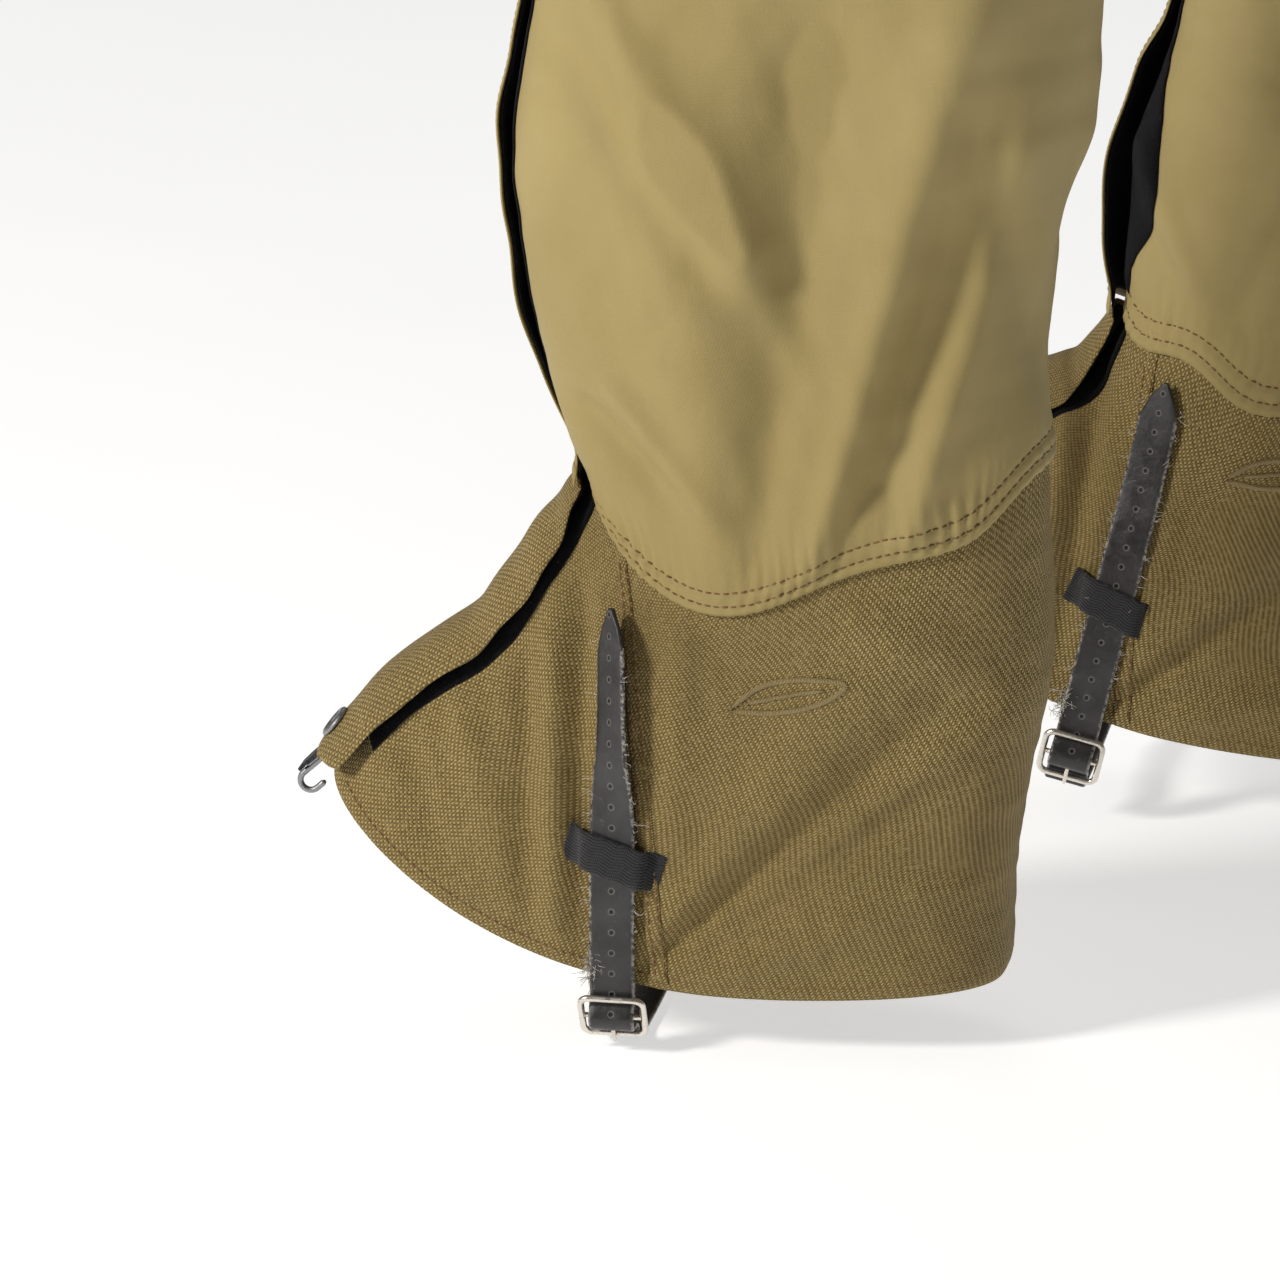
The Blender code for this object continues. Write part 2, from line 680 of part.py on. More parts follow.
def build_snaps(g):
    """Snap caps on the flaps over studs on the shell, at the toe and at the top."""
    places = (("toe", HEM + SNAP_INSET, TOE_SNAP_AT, "lower_flap"),
              ("top", TOP - SNAP_INSET, TOP_SNAP_AT, "upper_flap"))
    for name, height, at, flap in places:
        centre = g.shell.point(height, at)
        out = g.shell.normal(height, at)
        under = g.flap_inner(height, at)
        skin = under + FABRIC
        cap = lathe(centre, out, [(SNAP_RADIUS + more, skin + rise) for more, rise in SNAP_PROFILE])
        add(g, name + "_snap_cap", *cap, "nickel", g.joints[flap][0])
        base = g.layer(height) + FABRIC + 0.8
        stud = lathe(centre, out, ((STUD_RADIUS, base), (STUD_RADIUS, base + 0.8),
                                   (STUD_RADIUS * 0.5, base + 1.0), (STUD_RADIUS * 0.5, under - 1.2)))
        add(g, name + "_snap_stud", *stud, "nickel")


def build_lace_hook(g):
    """A tab under the flap's toe with the bent wire hook that catches the boot's laces."""
    out = g.shell.normal(HEM + 2.0, 0.0)
    tip = g.shell.point(HEM, 0.0)
    slope = math.radians(HOOK_SLOPE)
    ahead = Vector((0.0, -math.cos(slope), -math.sin(slope)))
    side = Vector((1.0, 0.0, 0.0))
    base = tip + out * (FABRIC * 2.0 + HOOK_DROP) + ahead * 1.5
    pivot = base + ahead * HOOK_TAB_STEPS[0]
    up = side.cross(ahead).normalized()
    if up.z < 0.0:
        up = -up
    centres = [base + ahead * step for step in HOOK_TAB_STEPS]
    g.joints["lace_hook"] = (pivot, side)
    ribbon(g, "lace_hook_tab", "webbing", centres, [side] * len(centres),
           [HOOK_TAB_WIDTH] * len(centres), HOOK_TAB_THICK, pivot)
    start = base + ahead * HOOK_TAB_STEPS[2] - up * HOOK_DROP
    path = [start - ahead * HOOK_SHANK, start, start + ahead * HOOK_RUN]
    for turn in spaced(0.0, math.pi, 5)[1:]:
        path.append(start + ahead * (HOOK_RUN + HOOK_BEND * math.sin(turn))
                    - up * (HOOK_BEND - HOOK_BEND * math.cos(turn)))
    path.append(path[-1] - ahead * HOOK_SHANK)
    add(g, "lace_hook", *wire(path, side, HOOK_WIRE), "nickel", pivot)


def strap_route(g):
    """Centres of the arch strap from the inner side, under the arch, up through the buckle."""
    y = STRAP_Y
    inner = []
    for z in (INNER_STRAP_Z, 50.0, 38.0):
        height, at = g.shell.find_side(y, z)
        spot = g.shell.offset(height, at, FABRIC + GAP + STRAP_THICK / 2.0 + 0.3)
        inner.append(Vector((-spot.x, y, z)))
    under = [Vector((-47.5, y, 27.0)), Vector((-43.0, y, 16.5)), Vector((-34.0, y, ARCH_Z)),
             Vector((-12.0, y, ARCH_Z - 0.6)), Vector((12.0, y, ARCH_Z - 0.6)),
             Vector((28.0, y, ARCH_Z))]
    lean = Matrix.Rotation(-g.strap_lean, 3, "X")
    along = lean @ Vector((math.sin(g.tilt), 0.0, math.cos(g.tilt)))
    out = lean @ Vector((math.cos(g.tilt), 0.0, -math.sin(g.tilt)))
    centre = Vector((g.buckle[0], y, g.buckle[1]))
    back = -3.7
    threaded = [centre + along * s + out * n for s, n in (
        (-12.5, back), (-8.8, back), (-6.2, -1.9), (-3.4, 2.2), (-1.6, 3.9), (1.6, 3.9),
        (3.4, 2.2), (6.2, -1.9), (8.8, back))]
    return inner, under, threaded, centre, along, out


def build_strap(g):
    inner, under, threaded, centre, along, out = strap_route(g)
    route = inner + under + threaded
    flat = [Vector((0.0, -1.0, 0.0))] * (len(inner) + len(under))
    sides = flat + [out.cross(along)] * len(threaded)
    for z in (44.0, 56.0, 68.0, 80.0, 92.0):
        spot, normal, side = g.strap_frame(z, FABRIC + GAP + STRAP_THICK / 2.0 + 1.2)
        route.append(spot)
        sides.append(-side)
    widths = [STRAP_WIDTH] * len(route)
    start = len(inner) + len(under) + 2
    ribbon(g, "arch_strap", "strap", route, sides, widths, STRAP_THICK, slot=(start, start + 4))
    tip_z = (93.0, 104.0, 116.0, 128.0, 140.0, 152.0, 159.0, STRAP_TIP_Z)
    frames = [g.strap_frame(z, FABRIC + GAP + STRAP_THICK / 2.0 + 1.2) for z in tip_z]
    pivot = frames[0][0]
    g.joints["strap_tip"] = (pivot, frames[0][2])
    ribbon(g, "strap_tip", "strap", [f[0] for f in frames], [-f[2] for f in frames],
           [STRAP_WIDTH] * 6 + [9.0, 1.6], STRAP_THICK, pivot)
    build_keeper(g)
    build_buckle(g, centre, along, out)


def build_keeper(g):
    """Webbing loop sewn down at both ends with the strap through it."""
    centres, sides = [], []
    rise = FABRIC + GAP + STRAP_THICK + 1.2 + GAP + WEB_THICK
    lifts = ((-1.0, 0.0), (-0.78, 0.0), (-0.62, 1.0), (-0.3, 1.0), (0.0, 1.0), (0.3, 1.0),
             (0.62, 1.0), (0.78, 0.0), (1.0, 0.0))
    base = FABRIC + GAP + WEB_THICK
    for share, lift in lifts:
        z = KEEPER_Z - KEEPER_SLANT * share
        y = STRAP_Y + (KEEPER_Z - g.buckle[1]) * math.tan(g.strap_lean) + KEEPER_HALF * share
        height, at = g.shell.find_side(y, z)
        centres.append(g.shell.offset(height, at, base + (rise - base) * lift))
        sides.append(Vector((0.0, 0.0, 1.0)))
    ribbon(g, "strap_keeper", "webbing", centres, sides, [KEEPER_TALL] * len(centres), WEB_THICK)


def build_buckle(g, centre, along, out):
    """Centre-bar buckle: a wire frame with its middle bar, a prong, and the tab that holds it."""
    side = along.cross(out)
    half_wide = BUCKLE_WIDE / 2.0 - WIRE
    half_tall = BUCKLE_TALL / 2.0 - WIRE
    corner = BUCKLE_CORNER
    path = []
    for x, z, first in ((1, 1, 0), (-1, 1, 90), (-1, -1, 180), (1, -1, 270)):
        for step in range(4):
            turn = math.radians(first + 30.0 * step)
            path.append(centre + side * (x * (half_wide - corner) + corner * math.cos(turn))
                        + along * (z * (half_tall - corner) + corner * math.sin(turn)))
    ring = frame_loop(path, out, WIRE)
    bar = lathe(centre - side * half_wide, side, ((BAR_RADIUS, 0.0), (BAR_RADIUS, 2.0 * half_wide)), 8)
    frame = add(g, "buckle_frame", *ring, "nickel", centre)
    join_solids(frame, bar, centre)
    g.joints["buckle_frame"] = (centre, side)
    loop = BAR_RADIUS + PRONG_CLEARANCE + PRONG_RADIUS
    path = []
    for degrees in range(-135, 91, 25):
        turn = math.radians(degrees)
        path.append(centre + along * (loop * math.cos(turn)) + out * (loop * math.sin(turn)))
    foot = -half_tall
    path.append(centre - along * 3.4 + out * (loop + 0.1))
    path.append(centre + along * (foot + 1.5) + out * (loop + 0.2))
    path.append(centre + along * (foot - PRONG_PAST) + out * (loop + 0.1))
    add(g, "buckle_prong", *wire(path, side, PRONG_RADIUS), "nickel", centre)
    g.joints["buckle_prong"] = (centre, side)
    build_buckle_tab(g, centre, along, out)


def frame_loop(path, plane_normal, radius, sides=8):
    """A closed round wire in one plane."""
    points, faces = [], []
    count = len(path)
    for i, place in enumerate(path):
        ahead = (path[(i + 1) % count] - path[(i - 1) % count]).normalized()
        across = ahead.cross(plane_normal).normalized()
        for k in range(sides):
            turn = 2.0 * math.pi * k / sides
            points.append(place + (across * math.cos(turn) + plane_normal * math.sin(turn)) * radius)
    for i in range(count):
        for k in range(sides):
            a, b = i * sides + k, i * sides + (k + 1) % sides
            faces.append((a, b, (b + sides) % (count * sides), (a + sides) % (count * sides)))
    return points, faces


def join_solids(target, solid, pivot):
    """Weld a second solid into an object's mesh with an exact union."""
    points, faces = solid
    mesh = bpy.data.meshes.new("union_work")
    mesh.from_pydata([(p - pivot) * MM for p in points], [], faces)
    work = bmesh.new()
    work.from_mesh(mesh)
    bmesh.ops.recalc_face_normals(work, faces=work.faces)
    work.to_mesh(mesh)
    work.free()
    cutter = bpy.data.objects.new(target.name + "_bar", mesh)
    cutter.parent = target
    cutter.hide_render = True
    cutter.display_type = "WIRE"
    bpy.context.scene.collection.objects.link(cutter)
    union = target.modifiers.new("bar", "BOOLEAN")
    union.operation = "UNION"
    union.object = cutter


def build_buckle_tab(g, centre, along, out):
    """Tab from the hem that comes down behind the strap and hooks round the middle bar."""
    centres = [g.strap_frame(z, FABRIC + GAP + TAB_THICK / 2.0)[0] for z in (50.0, 42.0)]
    centres.append(centre + along * 10.0 - out * 6.6)
    centres.append(centre + along * 5.0 - out * 6.2)
    loop = WIRE + 0.5 + TAB_THICK / 2.0
    for step in range(8):
        turn = math.radians(-60.0 + 36.0 * step)
        centres.append(centre + along * (loop * math.cos(turn)) + out * (loop * math.sin(turn)))
    sides = [out.cross(along)] * len(centres)
    ribbon(g, "buckle_tab", "webbing", centres, sides, [TAB_WIDTH] * len(centres), TAB_THICK,
           slot=(3, len(centres)))


def build(side):
    g = Gaiter(side)
    build_shell(g)
    build_tapes(g)
    build_flaps(g)
    build_top(g)
    build_snaps(g)
    build_lace_hook(g)
    build_strap(g)
    return g


def main():
    for old in list(bpy.data.objects):
        bpy.data.objects.remove(old, do_unlink=True)
    return {side: build(side) for side in PLACING}


gaiters = main()
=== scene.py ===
"""Looks of a pair of hiking gaiters: woven panels, black closure tape, worn strap, nickel buckle.

The cloth follows the same shell surface as the CAD: a height at the heel line and a distance round
the section. Shell lengths are millimetres until a piece is placed in the frame, which is metres.
"""
import json
import math
import random

import bpy
import numpy as np
from mathutils import Matrix, Vector


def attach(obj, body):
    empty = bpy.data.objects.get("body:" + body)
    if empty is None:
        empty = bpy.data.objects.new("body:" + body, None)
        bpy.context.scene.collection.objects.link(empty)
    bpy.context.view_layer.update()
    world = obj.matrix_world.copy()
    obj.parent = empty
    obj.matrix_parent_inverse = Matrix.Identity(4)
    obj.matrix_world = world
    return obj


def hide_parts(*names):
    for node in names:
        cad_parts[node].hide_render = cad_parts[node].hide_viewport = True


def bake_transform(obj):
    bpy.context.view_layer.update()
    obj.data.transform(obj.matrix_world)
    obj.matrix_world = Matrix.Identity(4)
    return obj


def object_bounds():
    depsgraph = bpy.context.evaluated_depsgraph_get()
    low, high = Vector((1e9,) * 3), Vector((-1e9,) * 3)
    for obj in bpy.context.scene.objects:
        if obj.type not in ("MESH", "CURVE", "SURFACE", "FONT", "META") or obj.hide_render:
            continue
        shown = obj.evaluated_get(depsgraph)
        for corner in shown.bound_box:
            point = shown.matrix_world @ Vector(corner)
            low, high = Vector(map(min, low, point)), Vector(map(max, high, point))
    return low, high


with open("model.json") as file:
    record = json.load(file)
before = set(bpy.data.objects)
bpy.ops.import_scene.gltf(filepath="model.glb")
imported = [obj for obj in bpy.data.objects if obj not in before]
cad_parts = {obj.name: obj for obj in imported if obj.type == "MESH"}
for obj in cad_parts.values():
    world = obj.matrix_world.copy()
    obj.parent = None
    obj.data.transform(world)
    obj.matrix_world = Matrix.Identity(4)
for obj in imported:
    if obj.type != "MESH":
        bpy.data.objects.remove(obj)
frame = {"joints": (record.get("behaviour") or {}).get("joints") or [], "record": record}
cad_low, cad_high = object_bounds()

MM = 0.001

# The shell's sections, as in the CAD: height at the heel line, front y, front z, heel y,
# half width, droop of the sides, roundness at the front and at the heel.
STATIONS = np.array((
    (33, -127, 98, 108, 45, 34, 0.48, 0.62),
    (76, -100, 129, 111, 45, 34, 0.52, 0.64),
    (112, -71, 151, 116, 44, 34, 0.56, 0.66),
    (150, -52, 180, 122, 43, 36, 0.62, 0.70),
    (212, -32, 211, 118, 42, 39, 0.74, 0.78),
    (249, -44, 246, 116, 44, 26, 0.80, 0.84),
    (286, -53, 286, 119, 47, 14, 0.86, 0.88),
    (330, -56, 330, 127, 50, 5, 0.92, 0.92),
    (376, -49, 376, 132, 52, 1, 0.95, 0.95),
    (462, -46, 462, 130, 53, 0, 0.97, 0.97),
), dtype=float)
DROOP_BIAS = 0.7
HEM = 33.0
SEAM = 212.0
LAP = 9.0
TOP = 462.0
UPPER_HEM = SEAM - LAP
OPENING_EDGE = -14.0
HINGE_EDGE = -40.0
LOWER_FLAP_EDGE = 21.0
UPPER_FLAP_EDGE = 6.0
FRONT_SEAM_TOP = -24.0
FRONT_SEAM_HEM = -8.0
INNER_SEAM_BACK = 30.0
HINGE_LAP = 6.0
LEAN_FROM = 190.0
LEAN_TO = 290.0
LEAN_CENTRE = (-15.0, 185.0)
CROOK_BACK_AT = 240.0
CROOK_DROP_AT = 175.0
CROOK_SPREAD = 55.0
WAVE_AT = 207.0
WAVE_SPREAD = 45.0

# Layers of cloth, as distances out from the shell surface.
LOWER_SKIN = 1.6
UPPER_SKIN = 4.2
CLOTH = 0.9
FLAP_BUILD = 1.5

# The strap and its buckle.
STRAP_Y = -22.0
STRAP_WIDTH = 16.0
STRAP_THICK = 1.7
STRAP_TIP_Z = 166.0
ARCH_Z = 11.0
ARCH_FACE = ARCH_Z - 0.6 + 0.8
INNER_STRAP_Z = 66.0
STRAP_OUT = 4.8
KEEPER_Z = 80.0
KEEPER_TALL = 14.0
KEEPER_HALF = 17.0
KEEPER_SLANT = 5.0
BUCKLE_WIDE = 24.0
BUCKLE_TALL = 19.6
WIRE = 1.1
BUCKLE_CORNER = 3.0
TOP_BAND_CENTRE = 445.0
EMBROIDERY_AT = (38.0, 141.0)

# The camera, from the near gaiter's middle: degrees round and up, metres away, lens in millimetres.
CAMERA_TARGET = (0.0, -21.0, 145.0)
CAMERA_ROUND, CAMERA_UP = 100.0, 17.0
CAMERA_AWAY = 2.8
CAMERA_LENS = 226.0

SIDES = {
    "left": {"lean": 0.0, "tilt": 30.0, "strap_lean": 0.0, "buckle": (48.5, 23.0), "twist": 36.0,
             "crook": (0.0, 0.0), "wave": ((0.61, 0.23, 13.0), (1.0, 0.09, 14.0)),
             "seed": 3, "peel": (245.0, 380.0, 1.5), "bare": 0.0},
    "right": {"lean": 15.0, "tilt": 12.0, "strap_lean": 5.5, "buckle": (52.0, 20.0), "twist": 4.0,
              "crook": (6.0, 38.0), "wave": ((0.17, 0.14, 20.0), (0.45, 0.30, 14.0)),
              "seed": 11, "peel": (204.0, 270.0, 6.0), "bare": 26.0},
}

# Folds of the cloth on the buckle side, drawn in side view: start y and z, end y and z,
# half width at both ends, height at both ends. A negative height is a valley.
UPPER_FOLDS = (
    (12, 196, 0, 340, 8, 30, 1.2, 5.4),
    (28, 192, 50, 380, 6, 20, -1.4, -4.4),
    (48, 196, 100, 400, 5, 14, 2.2, 3.8),
    (62, 196, 96, 312, 5, 11, -1.8, -3.2),
    (80, 204, 112, 345, 5, 9, 1.8, 2.6),
    (-26, 384, 26, 302, 7, 10, 2.2, 2.8),
    (-34, 356, 14, 288, 6, 9, -1.4, -1.8),
    (24, 302, 40, 258, 9, 6, 2.4, 0.9),
    (-34, 240, 4, 204, 5, 7, -2.2, -1.0),
    (-20, 246, 14, 202, 5, 6, 2.0, 1.0),
    (64, 420, 20, 470, 16, 20, 2.4, 1.2),
    (100, 340, 118, 250, 8, 6, -2.0, -1.4),
)
LOWER_FOLDS = (
    (-6, 46, 100, 144, 5, 12, -2.6, -1.8),
    (-4, 54, 66, 150, 7, 15, 2.0, 1.6),
    (-6, 41, 86, 108, 4, 9, -1.6, -2.0),
    (0, 45, 96, 126, 4, 8, 1.9, 1.9),
    (10, 37, 95, 74, 5, 11, 1.5, 1.8),
    (2, 172, -4, 66, 6, 7, 1.3, 0.9),
    (60, 170, 104, 150, 7, 9, 1.4, 1.0),
    (-36, 165, -33, 52, 4, 5, -2.0, -1.8),
    (-46, 160, -43, 58, 5, 6, 2.0, 1.7),
    (-56, 142, -52, 60, 4, 6, -1.6, -1.2),
    (-78, 124, -58, 60, 6, 8, 1.4, 0.9),
    (-98, 112, -84, 74, 5, 7, -1.2, -0.8),
)


def smooth(a, b, x):
    """0 below a and 1 above b, easing between them."""
    t = np.clip((x - a) / (b - a), 0.0, 1.0)
    return t * t * (3.0 - 2.0 * t)


def bell(x, centre, width):
    """A rounded bump, 1 at its centre."""
    return np.exp(-((x - centre) / width) ** 2)


def named_joint(name):
    """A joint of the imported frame."""
    return next(j for j in frame["joints"] if j["name"] == name)


def station_curves(heights):
    """Every section value at each height, on a smooth curve through the stations."""
    rows = STATIONS
    slopes = np.empty_like(rows)
    for j in range(len(rows)):
        low, high = rows[max(j - 1, 0)], rows[min(j + 1, len(rows) - 1)]
        slopes[j] = (high - low) / (high[0] - low[0])
    i = np.clip(np.searchsorted(rows[:, 0], heights, side="right") - 1, 0, len(rows) - 2)
    span = rows[i + 1, 0] - rows[i, 0]
    t = ((heights - rows[i, 0]) / span)[:, None]
    return ((2 * t**3 - 3 * t**2 + 1) * rows[i] + (t**3 - 2 * t**2 + t) * slopes[i] * span[:, None]
            + (3 * t**2 - 2 * t**3) * rows[i + 1] + (t**3 - t**2) * slopes[i + 1] * span[:, None])


class Shell:
    """The cloth surface of one gaiter, with its folds."""

    STEPS = 480

    def __init__(self, side):
        self.side = side
        self.facts = SIDES[side]
        self.lean = math.radians(self.facts["lean"])
        self.heights = np.arange(HEM - 3.0, TOP + 4.0, 1.0)
        front_y, front_z, heel_y, half, droop, front_round, heel_round = (
            station_curves(np.clip(self.heights, HEM, TOP)).T[1:, :, None])
        back, drop = self.facts["crook"]
        level = self.heights[:, None]
        front_y = front_y + back * bell(level, CROOK_BACK_AT, CROOK_SPREAD)
        front_z = front_z - drop * bell(level, CROOK_DROP_AT, CROOK_SPREAD)
        angle = math.pi * np.linspace(0.0, 1.0, self.STEPS) ** 1.25
        along = ((1.0 - np.cos(angle)) / 2.0)[None, :]
        power = front_round * (1.0 - along) + heel_round * along
        outside = level - np.clip(level, HEM, TOP)
        x = half * np.clip(np.sin(angle), 0.0, 1.0)[None, :] ** power
        y = front_y + (heel_y - front_y) * along
        z = front_z + outside + (level - outside - front_z) * along
        z = z - droop * np.sin(math.pi * along**DROOP_BIAS)
        swell = bell(level, WAVE_AT, WAVE_SPREAD)
        for centre, wide, high in self.facts["wave"]:
            z = z + swell * high * bell(along, centre, wide)
        points = np.stack((x, y, z), axis=-1)
        steps = np.linalg.norm(np.diff(points, axis=1), axis=-1)
        lengths = np.concatenate((np.zeros((len(points), 1)), np.cumsum(steps, axis=1)), axis=1)
        self.half = lengths[:, -1]
        shares = np.linspace(0.0, 1.0, self.STEPS)
        self.table = np.empty_like(points)
        for row in range(len(points)):
            for k in range(3):
                self.table[row, :, k] = np.interp(shares * self.half[row], lengths[row],
                                                  points[row, :, k])
        self.place_in_frame()

    def place_in_frame(self):
        """The gaiter's place and pitch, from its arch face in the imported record."""
        name = self.side + "_arch"
        mount = next(m for m in frame["record"]["mounts"] if m["name"] == name)
        axis = Vector(mount["axis"])
        turn = Matrix.Rotation(-math.atan2(axis.y, axis.z), 4, "X")
        local = Vector((0.0, STRAP_Y, ARCH_FACE)) * MM
        self.world = Matrix.Translation(Vector(mount["pos_m"])) @ turn @ Matrix.Translation(-local)

    def half_girth(self, height):
        """Half the way round the section at a height."""
        return np.interp(height, self.heights, self.half)

    def wrapped(self, height, at):
        """Distance round within half a girth of the front crest, and that half girth."""
        half = self.half_girth(height)
        return np.mod(at + half, 2.0 * half) - half, half

    def plain(self, height, at):
        """The upright surface without folds."""
        height, at = np.broadcast_arrays(np.asarray(height, float), np.asarray(at, float))
        at, half = self.wrapped(height, at)
        row = np.clip(height - self.heights[0], 0.0, len(self.heights) - 1.001)
        column = np.clip(np.abs(at) / half, 0.0, 1.0) * (self.STEPS - 1.001)
        i, j = row.astype(int), column.astype(int)
        u, v = (row - i)[..., None], (column - j)[..., None]
        found = ((1 - u) * ((1 - v) * self.table[i, j] + v * self.table[i, j + 1])
                 + u * ((1 - v) * self.table[i + 1, j] + v * self.table[i + 1, j + 1]))
        found = found.copy()
        found[..., 0] *= np.sign(at) + (at == 0.0)
        return found

    def bend(self, points):
        """Lean the upper back about the ankle."""
        turn = self.lean * smooth(LEAN_FROM, LEAN_TO, points[..., 2])
        y = points[..., 1] - LEAN_CENTRE[0]
        z = points[..., 2] - LEAN_CENTRE[1]
        bent = points.copy()
        bent[..., 1] = LEAN_CENTRE[0] + y * np.cos(turn) + z * np.sin(turn)
        bent[..., 2] = LEAN_CENTRE[1] - y * np.sin(turn) + z * np.cos(turn)
        return bent

    def frame_at(self, height, at):
        """Leaned surface point, outward normal, and the directions round and up."""
        height, at = np.broadcast_arrays(np.asarray(height, float), np.asarray(at, float))
        low, high = np.maximum(height - 1.5, HEM - 3.0), np.minimum(height + 1.5, TOP + 3.0)
        up = self.bend(self.plain(high, at)) - self.bend(self.plain(low, at))
        across = self.bend(self.plain(height, at + 1.5)) - self.bend(self.plain(height, at - 1.5))
        normal = np.cross(across, up)
        normal /= np.linalg.norm(normal, axis=-1, keepdims=True)
        across = across / np.linalg.norm(across, axis=-1, keepdims=True)
        up = np.cross(normal, across)
        return self.bend(self.plain(height, at)), normal, across, up

    def skin(self, height, at, out, relief):
        """Points on the folded cloth, out by a layer and its relief, and the shell's normals."""
        point, normal, _, _ = self.frame_at(height, at)
        lift = out + relief(self, np.asarray(height, float), np.asarray(at, float))
        return point + normal * np.asarray(lift)[..., None], normal

    def find_y(self, height, y):
        """Distance round the buckle side at which each section reaches y."""
        heights = np.atleast_1d(np.asarray(height, float))
        goal = np.broadcast_to(np.asarray(y, float), heights.shape)
        found = np.empty_like(heights)
        shares = np.linspace(0.0, 1.0, self.STEPS)
        for k, level in enumerate(heights):
            line = self.bend(self.plain(level, shares * self.half_girth(level) * 0.9999))
            found[k] = np.interp(goal[k], line[:, 1], shares) * self.half_girth(level)
        return found

    def find_side(self, y, z):
        """Height and distance round of the buckle side point with a given y and z."""
        low, high = HEM, TOP
        for _ in range(24):
            middle = (low + high) / 2.0
            at = self.find_y(middle, y)[0]
            if self.bend(self.plain(middle, at))[2] < z:
                low = middle
            else:
                high = middle
        return low, self.find_y(low, y)[0]

    def flap_edge(self, height):
        """The flap's free edge, distance round by height."""
        return LOWER_FLAP_EDGE + (UPPER_FLAP_EDGE - LOWER_FLAP_EDGE) * smooth(150, 250, height)

    def seam_edge(self, heights, back=0.0):
        """Where the side seam of the lower panels runs."""
        share = (heights - HEM) / (SEAM - HEM)
        y = FRONT_SEAM_HEM + (FRONT_SEAM_TOP - FRONT_SEAM_HEM) * share + back
        y = y + self.facts["crook"][0] * bell(heights, CROOK_BACK_AT, CROOK_SPREAD)
        flat = np.stack((np.zeros_like(y), y, heights), axis=-1)
        return self.find_y(heights, self.bend(flat)[..., 1])


def fold_relief(folds, y, z):
    """Height of a set of folds at side-view places."""
    total = np.zeros_like(y)
    for y0, z0, y1, z1, wide0, wide1, high0, high1 in folds:
        span = math.hypot(y1 - y0, z1 - z0)
        along = ((y - y0) * (y1 - y0) + (z - z0) * (z1 - z0)) / span**2
        off = ((y - y0) * (z1 - z0) - (z - z0) * (y1 - y0)) / span
        t = np.clip(along, 0.0, 1.0)
        wide = wide0 + (wide1 - wide0) * t
        high = high0 + (high1 - high0) * t
        ends = smooth(-0.22, 0.12, along) * (1.0 - smooth(0.86, 1.22, along))
        total += high * ends * np.exp(-((off / wide) ** 2))
    return total


def ripples(seed, count, shortest, longest):
    """Random plane waves, fixed by the seed: an uneven drape with no repeat."""
    chance = random.Random(seed)
    waves = []
    for _ in range(count):
        length = shortest * (longest / shortest) ** chance.random()
        turn = chance.uniform(0.0, math.pi)
        waves.append((2.0 * math.pi / length * math.cos(turn),
                      2.0 * math.pi / length * math.sin(turn),
                      chance.uniform(0.0, 6.28), length / longest))

    def relief(a, b):
        return sum(size * np.sin(ka * a + kb * b + start) for ka, kb, start, size in waves)
    return relief


def side_mask(shell, height, at):
    """1 on the buckle side, 0 on the inner side, easing over the front and the heel."""
    at, half = shell.wrapped(height, at)
    return smooth(-12.0, 14.0, at) * (1.0 - smooth(half - 10.0, half + 0.01, np.abs(at)))


def upper_relief(shell, height, at):
    """Folds of the upper: broad drape, and small puckers above the gathered seam."""
    height, at = np.broadcast_arrays(height, at)
    point = shell.plain(height, at)
    y, z = point[..., 1], point[..., 2]
    seed = shell.facts["seed"]
    near = side_mask(shell, height, at)
    shift = 0.0 if shell.side == "left" else 14.0
    outer = fold_relief(UPPER_FOLDS, y + shift, z)
    inner = fold_relief(UPPER_FOLDS, y * 0.94 - 6.0, z * 1.04 - 16.0)
    drape = ripples(seed, 14, 34.0, 120.0)(y + point[..., 0] * 0.6, z)
    fine = ripples(seed + 1, 16, 9.0, 26.0)(y + point[..., 0] * 0.6, z)
    rise = height - UPPER_HEM
    gather = bell(rise, 7.0, 13.0)
    wobble = ripples(seed + 2, 6, 22.0, 60.0)(at, height)
    pucker = np.sin(2.0 * math.pi * at / 5.2 + wobble * 1.1) * (0.6 + 0.4 * np.sin(at / 9.3 + seed))
    ends = smooth(0.0, 10.0, rise) * (1.0 - 0.75 * smooth(TOP - 60.0, TOP - 20.0, height))
    relief = 2.0 * (near * outer + (1.0 - near) * inner) * ends
    relief += 0.26 * drape * ends + 0.08 * fine * (0.25 + 0.75 * ends)
    closure = smooth(OPENING_EDGE, 16.0, at) * smooth(
        0.0, 30.0, 2.0 * shell.half_girth(height) + HINGE_EDGE - at)
    relief = relief * np.clip(closure, 0.0, 1.0)
    relief = np.maximum(relief, -0.6 - 5.4 * smooth(15.0, 36.0, rise))
    relief += 0.85 * gather * pucker
    relief += 0.45 * bell(rise, 2.2, 1.6) - 0.55 * bell(rise, 4.4, 1.1)
    relief += 0.40 * bell(rise, 7.3, 1.7) - 0.55 * bell(rise, 10.2, 1.1)
    return np.clip(relief, -6.0, 8.5) + lip(shell, height, at)


